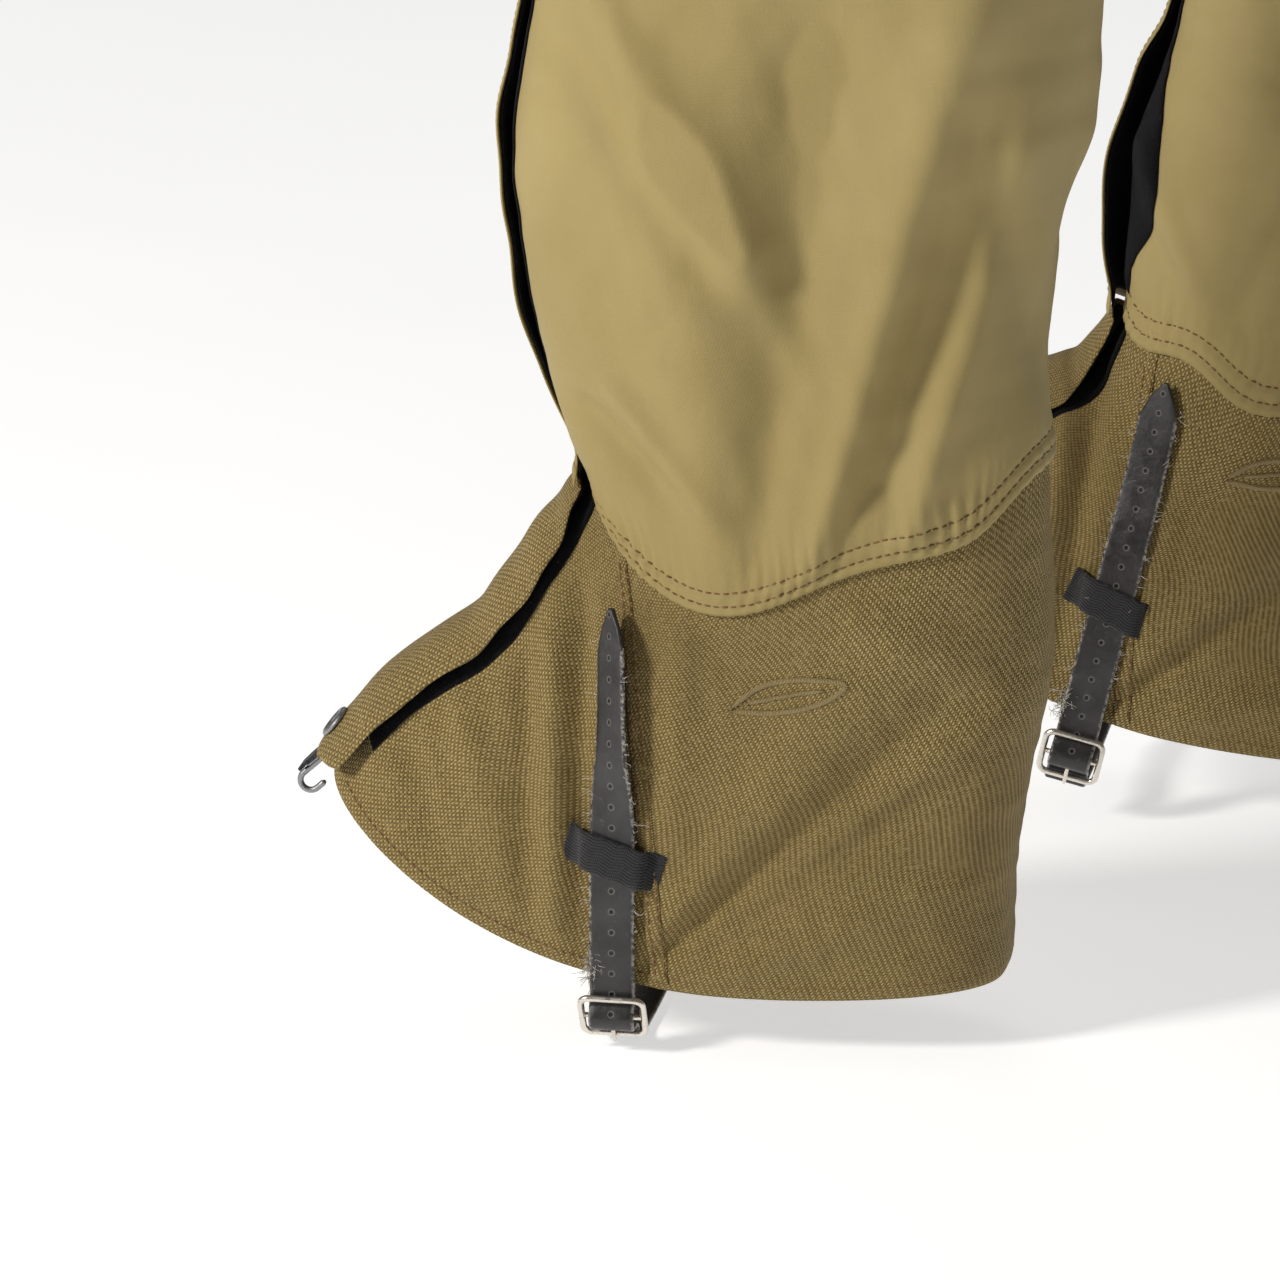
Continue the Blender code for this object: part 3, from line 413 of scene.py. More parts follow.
def lower_relief(shell, height, at):
    """Folds of the lower panels: drag lines from the buckle tab, and flutes beside the strap."""
    height, at = np.broadcast_arrays(height, at)
    point = shell.plain(height, at)
    y, z = point[..., 1], point[..., 2]
    seed = shell.facts["seed"]
    near = side_mask(shell, height, at)
    outer = fold_relief(LOWER_FOLDS, y, z)
    inner = fold_relief(LOWER_FOLDS, y - 5.0, z * 0.96)
    drape = ripples(seed + 3, 12, 30.0, 90.0)(y + point[..., 0] * 0.5, z)
    fine = ripples(seed + 4, 14, 8.0, 22.0)(y + point[..., 0] * 0.5, z)
    under = smooth(SEAM - 30.0, SEAM - 12.0, height)
    relief = 1.9 * (near * outer + (1.0 - near) * 0.7 * inner) + 0.34 * drape + 0.10 * fine
    relief *= 1.0 - 0.85 * under
    relief *= smooth(-0.5, 14.0, height - HEM) * 0.7 + 0.3
    pucker = np.sin(2.0 * math.pi * at / 4.8 + 1.3 * np.sin(at / 17.0))
    relief += 0.28 * pucker * np.exp(-((height - UPPER_HEM + 5.0) / 6.0) ** 2)
    strap = np.exp(-(((y - STRAP_Y) / 15.0) ** 2)) * smooth(60.0, 110.0, 190.0 - z) * near
    relief *= 1.0 - 0.6 * strap
    wrapped, _ = shell.wrapped(height, at)
    relief *= np.where(wrapped < 0.5 * (HINGE_EDGE + OPENING_EDGE),
                       smooth(0.0, 24.0, HINGE_EDGE - wrapped),
                       smooth(OPENING_EDGE + 8.0, 34.0, wrapped))
    return np.clip(relief, -4.6, 4.6 - 3.4 * smooth(UPPER_HEM - 34.0, UPPER_HEM - 8.0, height))


def flat_relief(shell, height, at):
    """A layer with no folds."""
    return np.zeros(np.broadcast(height, at).shape)


def lip(shell, height, at):
    """How far the upper's front edge is padded out by its turned-in facing."""
    at, _ = shell.wrapped(height, at)
    tall = smooth(UPPER_HEM, UPPER_HEM + 16.0, height) * (1.0 - smooth(TOP - 34.0, TOP - 14.0, height))
    near = (1.0 - smooth(14.0, 58.0, at)) * smooth(HINGE_EDGE, OPENING_EDGE, at)
    return 3.2 * tall * near


# ---------------------------------------------------------------- materials

class Nodes:
    """A material's node tree, with short calls for the nodes used here."""

    def __init__(self, name):
        self.material = bpy.data.materials.new(name)
        self.material.use_nodes = True
        self.tree = self.material.node_tree
        self.shader = self.tree.nodes["Principled BSDF"]

    def add(self, kind, **settings):
        node = self.tree.nodes.new(kind)
        for key, value in settings.items():
            setattr(node, key, value)
        return node

    def link(self, source, target):
        if hasattr(source, "outputs"):
            source = source.outputs[0]
        self.tree.links.new(source, target)

    def math(self, operation, a, b=None, c=None):
        node = self.add("ShaderNodeMath", operation=operation)
        for socket, value in zip(node.inputs, (a, b, c)):
            if value is None:
                continue
            if isinstance(value, (int, float)):
                socket.default_value = value
            else:
                self.link(value, socket)
        return node.outputs[0]

    def mix(self, factor, a, b, blend="MIX"):
        node = self.add("ShaderNodeMix", data_type="RGBA", blend_type=blend)
        for socket, value in zip((node.inputs[0], node.inputs[6], node.inputs[7]), (factor, a, b)):
            if isinstance(value, (int, float)):
                socket.default_value = value
            elif isinstance(value, tuple):
                socket.default_value = (*value, 1.0)
            else:
                self.link(value, socket)
        return node.outputs[2]

    def noise(self, scale, detail=4.0, rough=0.55, warp=0.0, stretch=None):
        node = self.add("ShaderNodeTexNoise")
        node.inputs["Scale"].default_value = scale
        node.inputs["Detail"].default_value = detail
        node.inputs["Roughness"].default_value = rough
        node.inputs["Distortion"].default_value = warp
        coordinates = self.add("ShaderNodeTexCoord").outputs["Object"]
        if stretch:
            mapping = self.add("ShaderNodeMapping")
            mapping.inputs["Scale"].default_value = stretch
            self.link(coordinates, mapping.inputs["Vector"])
            coordinates = mapping.outputs[0]
        self.link(coordinates, node.inputs["Vector"])
        return node.outputs[0]

    def ramp(self, value, low, high, to_low=0.0, to_high=1.0):
        node = self.add("ShaderNodeMapRange", interpolation_type="SMOOTHSTEP")
        self.link(value, node.inputs[0])
        for k, number in enumerate((low, high, to_low, to_high)):
            node.inputs[k + 1].default_value = number
        return node.outputs[0]

    def uv(self):
        split = self.add("ShaderNodeSeparateXYZ")
        self.link(self.add("ShaderNodeUVMap", uv_map="cloth").outputs[0], split.inputs[0])
        return split.outputs[0], split.outputs[1]

    def bump(self, height, distance, strength=1.0, below=None):
        node = self.add("ShaderNodeBump")
        node.inputs["Strength"].default_value = strength
        node.inputs["Distance"].default_value = distance
        self.link(height, node.inputs["Height"])
        if below is not None:
            self.link(below, node.inputs["Normal"])
        return node.outputs[0]

    def finish(self, colour=None, rough=None, normal=None, **constants):
        for value, socket in ((colour, "Base Color"), (rough, "Roughness"), (normal, "Normal")):
            if value is not None and not isinstance(value, (int, float)):
                self.link(value, self.shader.inputs[socket])
            elif value is not None:
                self.shader.inputs[socket].default_value = value
        for key, value in constants.items():
            self.shader.inputs[key.replace("_", " ")].default_value = value
        return self.material


def basket_weave(n, pitch):
    """Thread height of a plain weave, and which way the upper thread runs."""
    u, v = n.uv()
    across = n.math("MULTIPLY", u, 1.0 / pitch)
    along = n.math("MULTIPLY", v, 1.0 / pitch)
    parity = n.math("PINGPONG", n.math("ADD", n.math("FLOOR", across), n.math("FLOOR", along)), 1.0)
    ridge_u = n.math("SINE", n.math("MULTIPLY", n.math("FRACT", across), math.pi))
    ridge_v = n.math("SINE", n.math("MULTIPLY", n.math("FRACT", along), math.pi))
    over = n.math("MULTIPLY", ridge_u, n.math("MULTIPLY_ADD", ridge_v, 0.45, 0.55))
    under = n.math("MULTIPLY", ridge_v, n.math("MULTIPLY_ADD", ridge_u, 0.45, 0.40))
    lifted = n.math("MULTIPLY", over, parity)
    sunk = n.math("MULTIPLY", under, n.math("SUBTRACT", 1.0, parity))
    return n.math("ADD", lifted, sunk), parity


def lower_cloth():
    """Coarse nylon in a basket weave: pale threads over darker ones, painted shade where threads dip, dust
    and faded patches.
    """
    n = Nodes("gaiter_coarse_nylon")
    height, parity = basket_weave(n, 0.00105)
    broad = n.noise(9.0, 3.0, 0.5)
    patch = n.noise(46.0, 5.0, 0.6, 0.4)
    slub = n.noise(900.0, 2.0, 0.6)
    thread = n.mix(parity, (0.185, 0.126, 0.032), (0.490, 0.355, 0.125))
    # Darker where the threads dip under each other: painted shade in the weave's hollows.
    thread = n.mix(n.ramp(height, 0.15, 0.85), (0.095, 0.064, 0.018), thread)
    thread = n.mix(n.ramp(slub, 0.40, 0.75, 0.0, 0.40), thread, (0.56, 0.43, 0.20))
    thread = n.mix(n.ramp(broad, 0.30, 0.72, 0.0, 0.30), thread, (0.225, 0.158, 0.050))
    thread = n.mix(n.ramp(patch, 0.52, 0.80, 0.0, 0.18), thread, (0.130, 0.092, 0.032))
    rough = n.ramp(height, 0.0, 1.0, 0.86, 0.60)
    wrinkle = n.bump(n.noise(120.0, 4.0, 0.5, 0.6), 0.0012, 0.30)
    normal = n.bump(height, 0.00042, 0.85, wrinkle)
    return n.finish(thread, rough, normal, Sheen_Weight=0.05, Sheen_Roughness=0.5,
                    Specular_IOR_Level=0.30)


def upper_cloth():
    """Smooth coated laminate: a fine tight weave, a faint bloom and soft creases."""
    n = Nodes("gaiter_smooth_laminate")
    height, parity = basket_weave(n, 0.00042)
    broad = n.noise(7.0, 3.0, 0.5, 0.3)
    mottle = n.noise(30.0, 4.0, 0.55)
    speck = n.noise(1500.0, 2.0, 0.6)
    colour = n.mix(n.ramp(broad, 0.30, 0.72), (0.335, 0.256, 0.094), (0.400, 0.310, 0.124))
    colour = n.mix(n.ramp(mottle, 0.45, 0.78, 0.0, 0.20), colour, (0.290, 0.216, 0.078))
    colour = n.mix(n.ramp(speck, 0.45, 0.70, 0.0, 0.16), colour, (0.450, 0.356, 0.160))
    colour = n.mix(n.math("MULTIPLY", parity, 0.12), colour, (0.250, 0.186, 0.068))
    rough = n.ramp(mottle, 0.30, 0.75, 0.52, 0.66)
    crease = n.noise(55.0, 4.0, 0.50, 1.4, (1.0, 1.0, 0.40))
    soft = n.bump(crease, 0.0016, 0.20)
    normal = n.bump(height, 0.00010, 0.55, soft)
    return n.finish(colour, rough, normal, Sheen_Weight=0.04, Sheen_Roughness=0.45,
                    Specular_IOR_Level=0.30)


def inner_cloth():
    """The coated back of the cloth: paler, with a faint shine."""
    n = Nodes("gaiter_coated_back")
    height, parity = basket_weave(n, 0.0008)
    mottle = n.noise(40.0, 4.0, 0.6)
    colour = n.mix(n.ramp(mottle, 0.3, 0.75), (0.235, 0.185, 0.100), (0.315, 0.255, 0.150))
    colour = n.mix(n.math("MULTIPLY", parity, 0.2), colour, (0.17, 0.13, 0.07))
    return n.finish(colour, n.ramp(mottle, 0.3, 0.7, 0.42, 0.58), n.bump(height, 0.0002, 0.6),
                    Specular_IOR_Level=0.45)


def tape_material(name, loops):
    """Black pile tape: a dense felt of loops, or rows of short hooks, with lint caught in it."""
    n = Nodes(name)
    pile = n.noise(2600.0 if loops else 1700.0, 3.0, 0.75)
    clump = n.noise(420.0, 4.0, 0.6)
    lint = n.noise(760.0, 2.0, 0.5, 1.5)
    colour = n.mix(n.ramp(pile, 0.30, 0.75), (0.002, 0.002, 0.003), (0.014, 0.013, 0.016))
    colour = n.mix(n.ramp(clump, 0.55, 0.85, 0.0, 0.4), colour, (0.022, 0.020, 0.022))
    colour = n.mix(n.ramp(lint, 0.70, 0.80, 0.0, 0.55), colour, (0.30, 0.25, 0.20))
    return n.finish(colour, 0.95, n.bump(pile, 0.0009, 1.0, n.bump(clump, 0.0012, 0.6)),
                    Sheen_Weight=0.04, Sheen_Roughness=0.4, Specular_IOR_Level=0.08)


def webbing_material():
    """Black woven webbing: a herringbone of raised ribs with painted shade between them, and dusty edges.
    """
    n = Nodes("gaiter_black_webbing")
    u, v = n.uv()
    slant = n.math("PINGPONG", n.math("MULTIPLY", v, 1.0 / 0.004), 1.0)
    rib = n.math("ADD", n.math("MULTIPLY", u, 1.0 / 0.0011), slant)
    ridge = n.math("SINE", n.math("MULTIPLY", n.math("FRACT", rib), math.pi))
    cross = n.math("SINE", n.math("MULTIPLY", v, 2.0 * math.pi / 0.0007))
    height = n.math("MULTIPLY_ADD", cross, 0.18, ridge)
    dust = n.noise(190.0, 4.0, 0.6)
    # Lighter on the rib crests and darker in the hollows between them: painted highlight and painted
    # shade.
    colour = n.mix(n.ramp(height, 0.1, 1.1), (0.004, 0.004, 0.005), (0.022, 0.021, 0.024))
    colour = n.mix(n.ramp(dust, 0.55, 0.85, 0.0, 0.35), colour, (0.075, 0.068, 0.060))
    return n.finish(colour, n.ramp(dust, 0.3, 0.8, 0.58, 0.85), n.bump(height, 0.00040, 0.9),
                    Sheen_Weight=0.15, Specular_IOR_Level=0.35)


def strap_material():
    """Coated strap: black with a dull shine, punched holes painted near-black as painted shade, scuffs,
    and a pale worn edge.
    """
    n = Nodes("gaiter_worn_strap")
    u, v = n.uv()
    step = n.math("SUBTRACT", n.math("MULTIPLY", n.math("FRACT", n.math("MULTIPLY", v, 1.0 / 0.0075)),
                                     0.0075), 0.00375)
    near = n.math("SQRT", n.math("ADD", n.math("MULTIPLY", u, u), n.math("MULTIPLY", step, step)))
    hole = n.ramp(near, 0.00062, 0.00088, 1.0, 0.0)
    rim = n.math("MULTIPLY", n.ramp(near, 0.00088, 0.00155, 1.0, 0.0), n.math("SUBTRACT", 1.0, hole))
    grain = n.noise(1300.0, 3.0, 0.6)
    scuff = n.noise(210.0, 6.0, 0.72, 0.8)
    haze = n.noise(60.0, 4.0, 0.6)
    edge = n.ramp(n.math("ABSOLUTE", u), 0.0066, 0.0080)
    ragged = n.math("MULTIPLY", edge, n.ramp(n.noise(700.0, 4.0, 0.7), 0.42, 0.62))
    colour = n.mix(n.ramp(haze, 0.3, 0.75), (0.016, 0.015, 0.016), (0.040, 0.038, 0.039))
    colour = n.mix(n.ramp(scuff, 0.58, 0.80, 0.0, 0.7), colour, (0.150, 0.142, 0.135))
    colour = n.mix(n.math("MULTIPLY", rim, 0.55), colour, (0.22, 0.21, 0.20))
    colour = n.mix(ragged, colour, (0.42, 0.39, 0.35))
    # The holes are not cut through: their near-black is painted shade inside them.
    colour = n.mix(hole, colour, (0.002, 0.002, 0.002))
    rough = n.ramp(scuff, 0.40, 0.75, 0.30, 0.62)
    height = n.math("SUBTRACT", n.math("MULTIPLY", grain, 0.10), hole)
    normal = n.bump(height, 0.0007, 0.75, n.bump(scuff, 0.0006, 0.35))
    return n.finish(colour, rough, normal, Specular_IOR_Level=0.5)


def metal_material(name, tint, rough_low, rough_high):
    """Plated metal: fine scratches, dulled spots and dirt in the corners."""
    n = Nodes(name)
    scratch = n.noise(700.0, 5.0, 0.7, 0.2, (1.0, 0.12, 1.0))
    dull = n.noise(260.0, 5.0, 0.65)
    spot = n.noise(900.0, 3.0, 0.6)
    dark = tuple(value * 0.42 for value in tint)
    colour = n.mix(n.ramp(dull, 0.52, 0.80, 0.0, 0.55), tint, dark)
    colour = n.mix(n.ramp(spot, 0.64, 0.76, 0.0, 0.75), colour, (0.09, 0.075, 0.06))
    rough = n.ramp(dull, 0.30, 0.75, rough_low, rough_high)
    return n.finish(colour, rough, n.bump(scratch, 0.00022, 0.5), Metallic=1.0)


def plastic_material():
    """Moulded black acetal: fine spark texture and rubbed edges."""
    n = Nodes("gaiter_black_plastic")
    texture = n.noise(1600.0, 2.0, 0.5)
    rub = n.noise(140.0, 4.0, 0.6)
    colour = n.mix(n.ramp(rub, 0.50, 0.80, 0.0, 0.6), (0.010, 0.010, 0.011), (0.038, 0.037, 0.038))
    return n.finish(colour, n.ramp(rub, 0.3, 0.75, 0.34, 0.52), n.bump(texture, 0.00025, 0.5),
                    Specular_IOR_Level=0.5)


def thread_material(name, dark, light):
    """Twisted sewing thread."""
    n = Nodes(name)
    twist = n.noise(2400.0, 2.0, 0.5, 0.0, (1.0, 1.0, 0.3))
    fade = n.noise(75.0, 3.0, 0.6)
    colour = n.mix(n.ramp(twist, 0.35, 0.70), dark, light)
    colour = n.mix(n.ramp(fade, 0.45, 0.80, 0.0, 0.4), colour, tuple(v * 0.6 for v in dark))
    return n.finish(colour, 0.62, n.bump(twist, 0.0003, 0.6), Sheen_Weight=0.2)


def satin_material():
    """Embroidery in satin stitch: close parallel threads, lighter on each crest and darker between:
    painted highlight and painted shade.
    """
    n = Nodes("gaiter_satin_thread")
    _, v = n.uv()
    line = n.math("FRACT", n.math("MULTIPLY", v, 1.0 / 0.00052))
    ridge = n.math("SINE", n.math("MULTIPLY", line, math.pi))
    tone = n.noise(300.0, 3.0, 0.6)
    # Light on each thread's crest and dark between threads: painted highlight and painted shade.
    colour = n.mix(n.ramp(ridge, 0.1, 0.9), (0.135, 0.090, 0.026), (0.400, 0.290, 0.105))
    colour = n.mix(n.ramp(tone, 0.4, 0.75, 0.0, 0.35), colour, (0.25, 0.175, 0.06))
    return n.finish(colour, 0.42, n.bump(ridge, 0.00035, 0.9), Sheen_Weight=0.25)


def elastic_material():
    """Ribbed knitted elastic, lighter on the rib crests and darker in the valleys: painted highlight and
    painted shade.
    """
    n = Nodes("gaiter_ribbed_elastic")
    _, v = n.uv()
    ridge = n.math("SINE", n.math("MULTIPLY", v, 2.0 * math.pi / 0.0016))
    knit = n.noise(1500.0, 3.0, 0.6)
    # Lighter on the rib crests and darker in the valleys: painted highlight and painted shade.
    colour = n.mix(n.ramp(ridge, -0.8, 0.9), (0.016, 0.015, 0.014), (0.060, 0.056, 0.050))
    colour = n.mix(n.ramp(knit, 0.5, 0.8, 0.0, 0.4), colour, (0.10, 0.092, 0.08))
    return n.finish(colour, 0.85, n.bump(ridge, 0.0004, 0.8), Sheen_Weight=0.2)


def fibre_material():
    """Pale loose fibres."""
    n = Nodes("gaiter_frayed_fibre")
    tone = n.noise(500.0, 2.0, 0.5)
    colour = n.mix(n.ramp(tone, 0.3, 0.7), (0.34, 0.31, 0.27), (0.66, 0.62, 0.55))
    return n.finish(colour, 0.7, n.bump(tone, 0.0001, 0.3), Sheen_Weight=0.3)


# ---------------------------------------------------------------- meshes

def place_mesh(shell, name, points, faces, material, uvs=None, body="gaiter", smooth_shade=True,
               backs=None, back_material=None):
    """A piece in the frame, from shell millimetres, riding on one of its gaiter's bodies."""
    mesh = bpy.data.meshes.new(shell.side + "_" + name + "_look")
    points = np.asarray(points, float)
    turn = np.array(shell.world.to_3x3())
    move = np.array(shell.world.translation)
    mesh.from_pydata((points * MM) @ turn.T + move, [], faces)
    if uvs is not None:
        layer = mesh.uv_layers.new(name="cloth")
        index = np.empty(len(mesh.loops), dtype=int)
        mesh.loops.foreach_get("vertex_index", index)
        layer.data.foreach_set("uv", (np.asarray(uvs) * MM)[index].ravel())
    mesh.materials.append(material)
    if backs is not None:
        mesh.materials.append(back_material)
        mesh.polygons.foreach_set("material_index", np.asarray(backs, dtype=np.int32))
    if smooth_shade:
        mesh.shade_smooth()
    mesh.validate()
    made = bpy.data.objects.new(shell.side + "_" + name + "_look", mesh)
    bpy.context.scene.collection.objects.link(made)
    if body:
        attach(made, shell.side + "_" + body)
    return made


def two_skins(outside, inside, uv):
    """Points, faces and texture places of a thin sheet between two grids."""
    rows, columns = outside.shape[:2]
    count = rows * columns
    grid = np.arange(count).reshape(rows, columns)
    a, b, c, d = grid[:-1, :-1], grid[:-1, 1:], grid[1:, 1:], grid[1:, :-1]
    front = np.stack((a, b, c, d), axis=-1).reshape(-1, 4)
    back = np.stack((a, d, c, b), axis=-1).reshape(-1, 4) + count
    rim = np.concatenate((grid[0, :], grid[1:, -1], grid[-1, -2::-1], grid[-2::-1, 0]))
    walls = [(rim[k + 1], rim[k], rim[k] + count, rim[k + 1] + count) for k in range(len(rim) - 1)]
    faces = front.tolist() + back.tolist() + [tuple(int(i) for i in w) for w in walls]
    points = np.concatenate((outside.reshape(-1, 3), inside.reshape(-1, 3)))
    uvs = np.concatenate((uv.reshape(-1, 2), uv.reshape(-1, 2)))
    backs = [0] * len(front) + [1] * len(back) + [0] * len(walls)
    return points, faces, uvs, backs


def sheet_piece(shell, name, heights, starts, stops, out, relief, material, thick=CLOTH,
                columns=120, body="gaiter", back=None):
    """A cloth panel over the shell between two edges, as a thin closed sheet."""
    shares = np.linspace(0.0, 1.0, columns)[None, :]
    starts, stops = (np.broadcast_to(np.asarray(v, float), heights.shape) for v in (starts, stops))
    height = heights[:, None] + 0.0 * shares
    at = starts[:, None] + (stops - starts)[:, None] * shares
    thick = np.broadcast_to(np.asarray(thick, float), heights.shape)[:, None]
    outside, _ = shell.skin(height, at, out, relief)
    inside, _ = shell.skin(height, at, out - thick, relief)
    rim = round_rim(height)
    middle = (outside + inside) / 2.0
    outside = middle + (outside - middle) * rim[..., None]
    inside = middle + (inside - middle) * rim[..., None]
    uv = np.stack((at, height), axis=-1)
    points, faces, uvs, backs = two_skins(outside, inside, uv)
    made = place_mesh(shell, name, points, faces, material, uvs, body, True,
                      backs, back or material)
    runs = np.linalg.norm(np.diff(shell.plain(height, at), axis=0), axis=-1).sum(axis=0)
    return made


def round_rim(height):
    """Draws the two skins together at a panel's edges, so that its rim is rounded."""
    rows = np.arange(height.shape[0])[:, None]
    columns = np.arange(height.shape[1])[None, :]
    edge = np.minimum(np.minimum(rows, height.shape[0] - 1 - rows),
                      np.minimum(columns, height.shape[1] - 1 - columns))
    return np.where(edge == 0, 0.35, np.where(edge == 1, 0.85, 1.0))


def sweep(centres, sides, outs, outline):
    """A closed outline of (side, out) pairs swept along centres. Returns points and faces."""
    centres, sides, outs = (np.asarray(v, float) for v in (centres, sides, outs))
    outline = np.asarray(outline, float)
    if outline.ndim == 2:
        outline = np.repeat(outline[None], len(centres), axis=0)
    count = outline.shape[1]
    points = (centres[:, None] + sides[:, None] * outline[..., :1] + outs[:, None] * outline[..., 1:])
    faces = []
    for i in range(len(centres) - 1):
        for k in range(count):
            a, b = i * count + k, i * count + (k + 1) % count
            faces.append((a, b, b + count, a + count))
    faces.append(tuple(range(count - 1, -1, -1)))
    faces.append(tuple((len(centres) - 1) * count + k for k in range(count)))
    return points.reshape(-1, 3), faces


def strap_outline(width, thick, steps=9):
    """Cross-section of a flat strap with rounded edges, top face first."""
    half, low = width / 2.0, thick / 2.0
    across = np.linspace(-half + low, half - low, steps)
    top = [(x, low) for x in across]
    right = [(half - low * 0.3, low * 0.7), (half, 0.0), (half - low * 0.3, -low * 0.7)]
    bottom = [(x, -low) for x in across[::-1]]
    left = [(-half + low * 0.3, -low * 0.7), (-half, 0.0), (-half + low * 0.3, low * 0.7)]
    return np.array(top + right + bottom + left)


def smooth_path(points, spacing):
    """A smooth path through points, in even steps, with how far along each step is."""
    points = np.asarray(points, float)
    padded = np.vstack((2 * points[0] - points[1], points, 2 * points[-1] - points[-2]))
    fine = []
    for i in range(1, len(padded) - 2):
        p0, p1, p2, p3 = padded[i - 1:i + 3]
        for t in np.linspace(0.0, 1.0, 24, endpoint=False):
            fine.append(0.5 * ((2 * p1) + (p2 - p0) * t + (2 * p0 - 5 * p1 + 4 * p2 - p3) * t**2
                               + (3 * p1 - p0 - 3 * p2 + p3) * t**3))
    fine.append(points[-1])
    fine = np.array(fine)
    run = np.concatenate(([0.0], np.cumsum(np.linalg.norm(np.diff(fine, axis=0), axis=1))))
    count = max(int(run[-1] / spacing), 2)
    places = np.linspace(0.0, run[-1], count + 1)
    return np.stack([np.interp(places, run, fine[:, k]) for k in range(3)], axis=-1), places


def ribbon_frames(path, hints):
    """Width and outward directions along a path, from a width hint at each point."""
    ahead = np.gradient(path, axis=0)
    ahead /= np.linalg.norm(ahead, axis=1, keepdims=True)
    side = hints - ahead * np.sum(hints * ahead, axis=1, keepdims=True)
    side /= np.linalg.norm(side, axis=1, keepdims=True)
    return side, np.cross(side, ahead)


def strap_piece(shell, name, points, hints, width, thick, material, body="gaiter", spacing=1.0,
                widths=None, twist=None):
    """A flat strap along points; hints give its width direction at each of them."""
    path, places = smooth_path(points, spacing)
    knots = np.concatenate(([0.0], np.cumsum(np.linalg.norm(np.diff(points, axis=0), axis=1))))
    knots *= places[-1] / knots[-1]
    hint = np.stack([np.interp(places, knots, np.asarray(hints)[:, k]) for k in range(3)], axis=-1)
    side, out = ribbon_frames(path, hint)
    if twist is not None:
        angle = np.radians(np.interp(places, knots, twist))[:, None]
        side, out = side * np.cos(angle) + out * np.sin(angle), out * np.cos(angle) - side * np.sin(angle)
    outline = strap_outline(width, thick)
    outlines = np.repeat(outline[None], len(path), axis=0)
    if widths is not None:
        outlines[..., 0] *= (np.interp(places, knots, widths) / width)[:, None]
    points, faces = sweep(path, side, out, outlines)
    uvs = np.stack((outlines[..., 0], np.repeat(places[:, None], outline.shape[0], axis=1)), axis=-1)
    made = place_mesh(shell, name, points, faces, material, uvs.reshape(-1, 2), body)
    return made, path, side, out


def tube_points(path, radius, sides=10, closed=False):
    """A round wire along a path, with a frame carried along it so that it never twists."""
    path = np.asarray(path, float)
    ahead = np.roll(path, -1, axis=0) - np.roll(path, 1, axis=0)
    if not closed:
        ahead[0], ahead[-1] = path[1] - path[0], path[-1] - path[-2]
    ahead /= np.linalg.norm(ahead, axis=1, keepdims=True)
    spare = np.array((0.0, 0.0, 1.0)) if abs(ahead[0][2]) < 0.9 else np.array((0.0, 1.0, 0.0))
    side = np.cross(ahead[0], spare)
    rings = []
    radii = np.broadcast_to(np.asarray(radius, float), (len(path),))
    for i, centre in enumerate(path):
        side = side - ahead[i] * np.dot(side, ahead[i])
        side /= np.linalg.norm(side)
        up = np.cross(ahead[i], side)
        turns = 2.0 * math.pi * np.arange(sides) / sides
        ring = np.cos(turns)[:, None] * side + np.sin(turns)[:, None] * up
        rings.append(centre + ring * radii[i])
    count = len(path)
    faces = []
    for i in range(count if closed else count - 1):
        for k in range(sides):
            a, b = i * sides + k, i * sides + (k + 1) % sides
            n = (i + 1) % count * sides
            faces.append((a, b, n + (k + 1) % sides, n + k))
    if not closed:
        faces.append(tuple(range(sides - 1, -1, -1)))
        faces.append(tuple((count - 1) * sides + k for k in range(sides)))
    return np.concatenate(rings), faces


def join(parts):
    """Several (points, faces) as one."""
    points, faces, start = [], [], 0
    for more, more_faces in parts:
        points.append(np.asarray(more, float))
        faces.extend(tuple(i + start for i in face) for face in more_faces)
        start += len(more)
    return np.concatenate(points), faces


def stitch_parts(points, normals, pitch, length, radius, sink=0.1):
    """Short rounded stitches laid end to end along a line on the cloth."""
    points, normals = np.asarray(points, float), np.asarray(normals, float)
    run = np.concatenate(([0.0], np.cumsum(np.linalg.norm(np.diff(points, axis=0), axis=1))))
    parts = []
    for start in np.arange(pitch * 0.4, run[-1] - length, pitch):
        places = start + np.array((0.0, 0.2, 0.5, 0.8, 1.0)) * length
        path = np.stack([np.interp(places, run, points[:, k]) for k in range(3)], axis=-1)
        out = np.stack([np.interp(places, run, normals[:, k]) for k in range(3)], axis=-1)
        path = path + out * (np.array((-0.5, 0.15, 0.35, 0.15, -0.5)) * radius - sink)[:, None]
        parts.append(tube_points(path, radius * np.array((0.45, 0.9, 1.0, 0.9, 0.45)), 6))
    return parts


def lathe_parts(centre, axis, outline, sides=28):
    """A turned solid from (radius, height) pairs."""
    axis = np.asarray(axis, float) / np.linalg.norm(axis)
    spare = np.array((0.0, 0.0, 1.0)) if abs(axis[2]) < 0.9 else np.array((0.0, 1.0, 0.0))
    side = np.cross(axis, spare)
    side /= np.linalg.norm(side)
    other = np.cross(axis, side)
    turns = 2.0 * math.pi * np.arange(sides) / sides
    ring = np.cos(turns)[:, None] * side + np.sin(turns)[:, None] * other
    points = [centre + axis * height + ring * radius for radius, height in outline]
    faces = []
    for row in range(len(outline) - 1):
        for k in range(sides):
            a, b = row * sides + k, row * sides + (k + 1) % sides
            faces.append((a, b, b + sides, a + sides))
    faces.append(tuple(range(sides - 1, -1, -1)))
    last = (len(outline) - 1) * sides
    faces.append(tuple(last + k for k in range(sides)))
    return np.concatenate(points), faces


# ---------------------------------------------------------------- cloth of one gaiter

def layer(height):
    """The upper shell laps over the lower panels."""
    return np.where(np.asarray(height, float) >= UPPER_HEM, 2.8, 0.0)


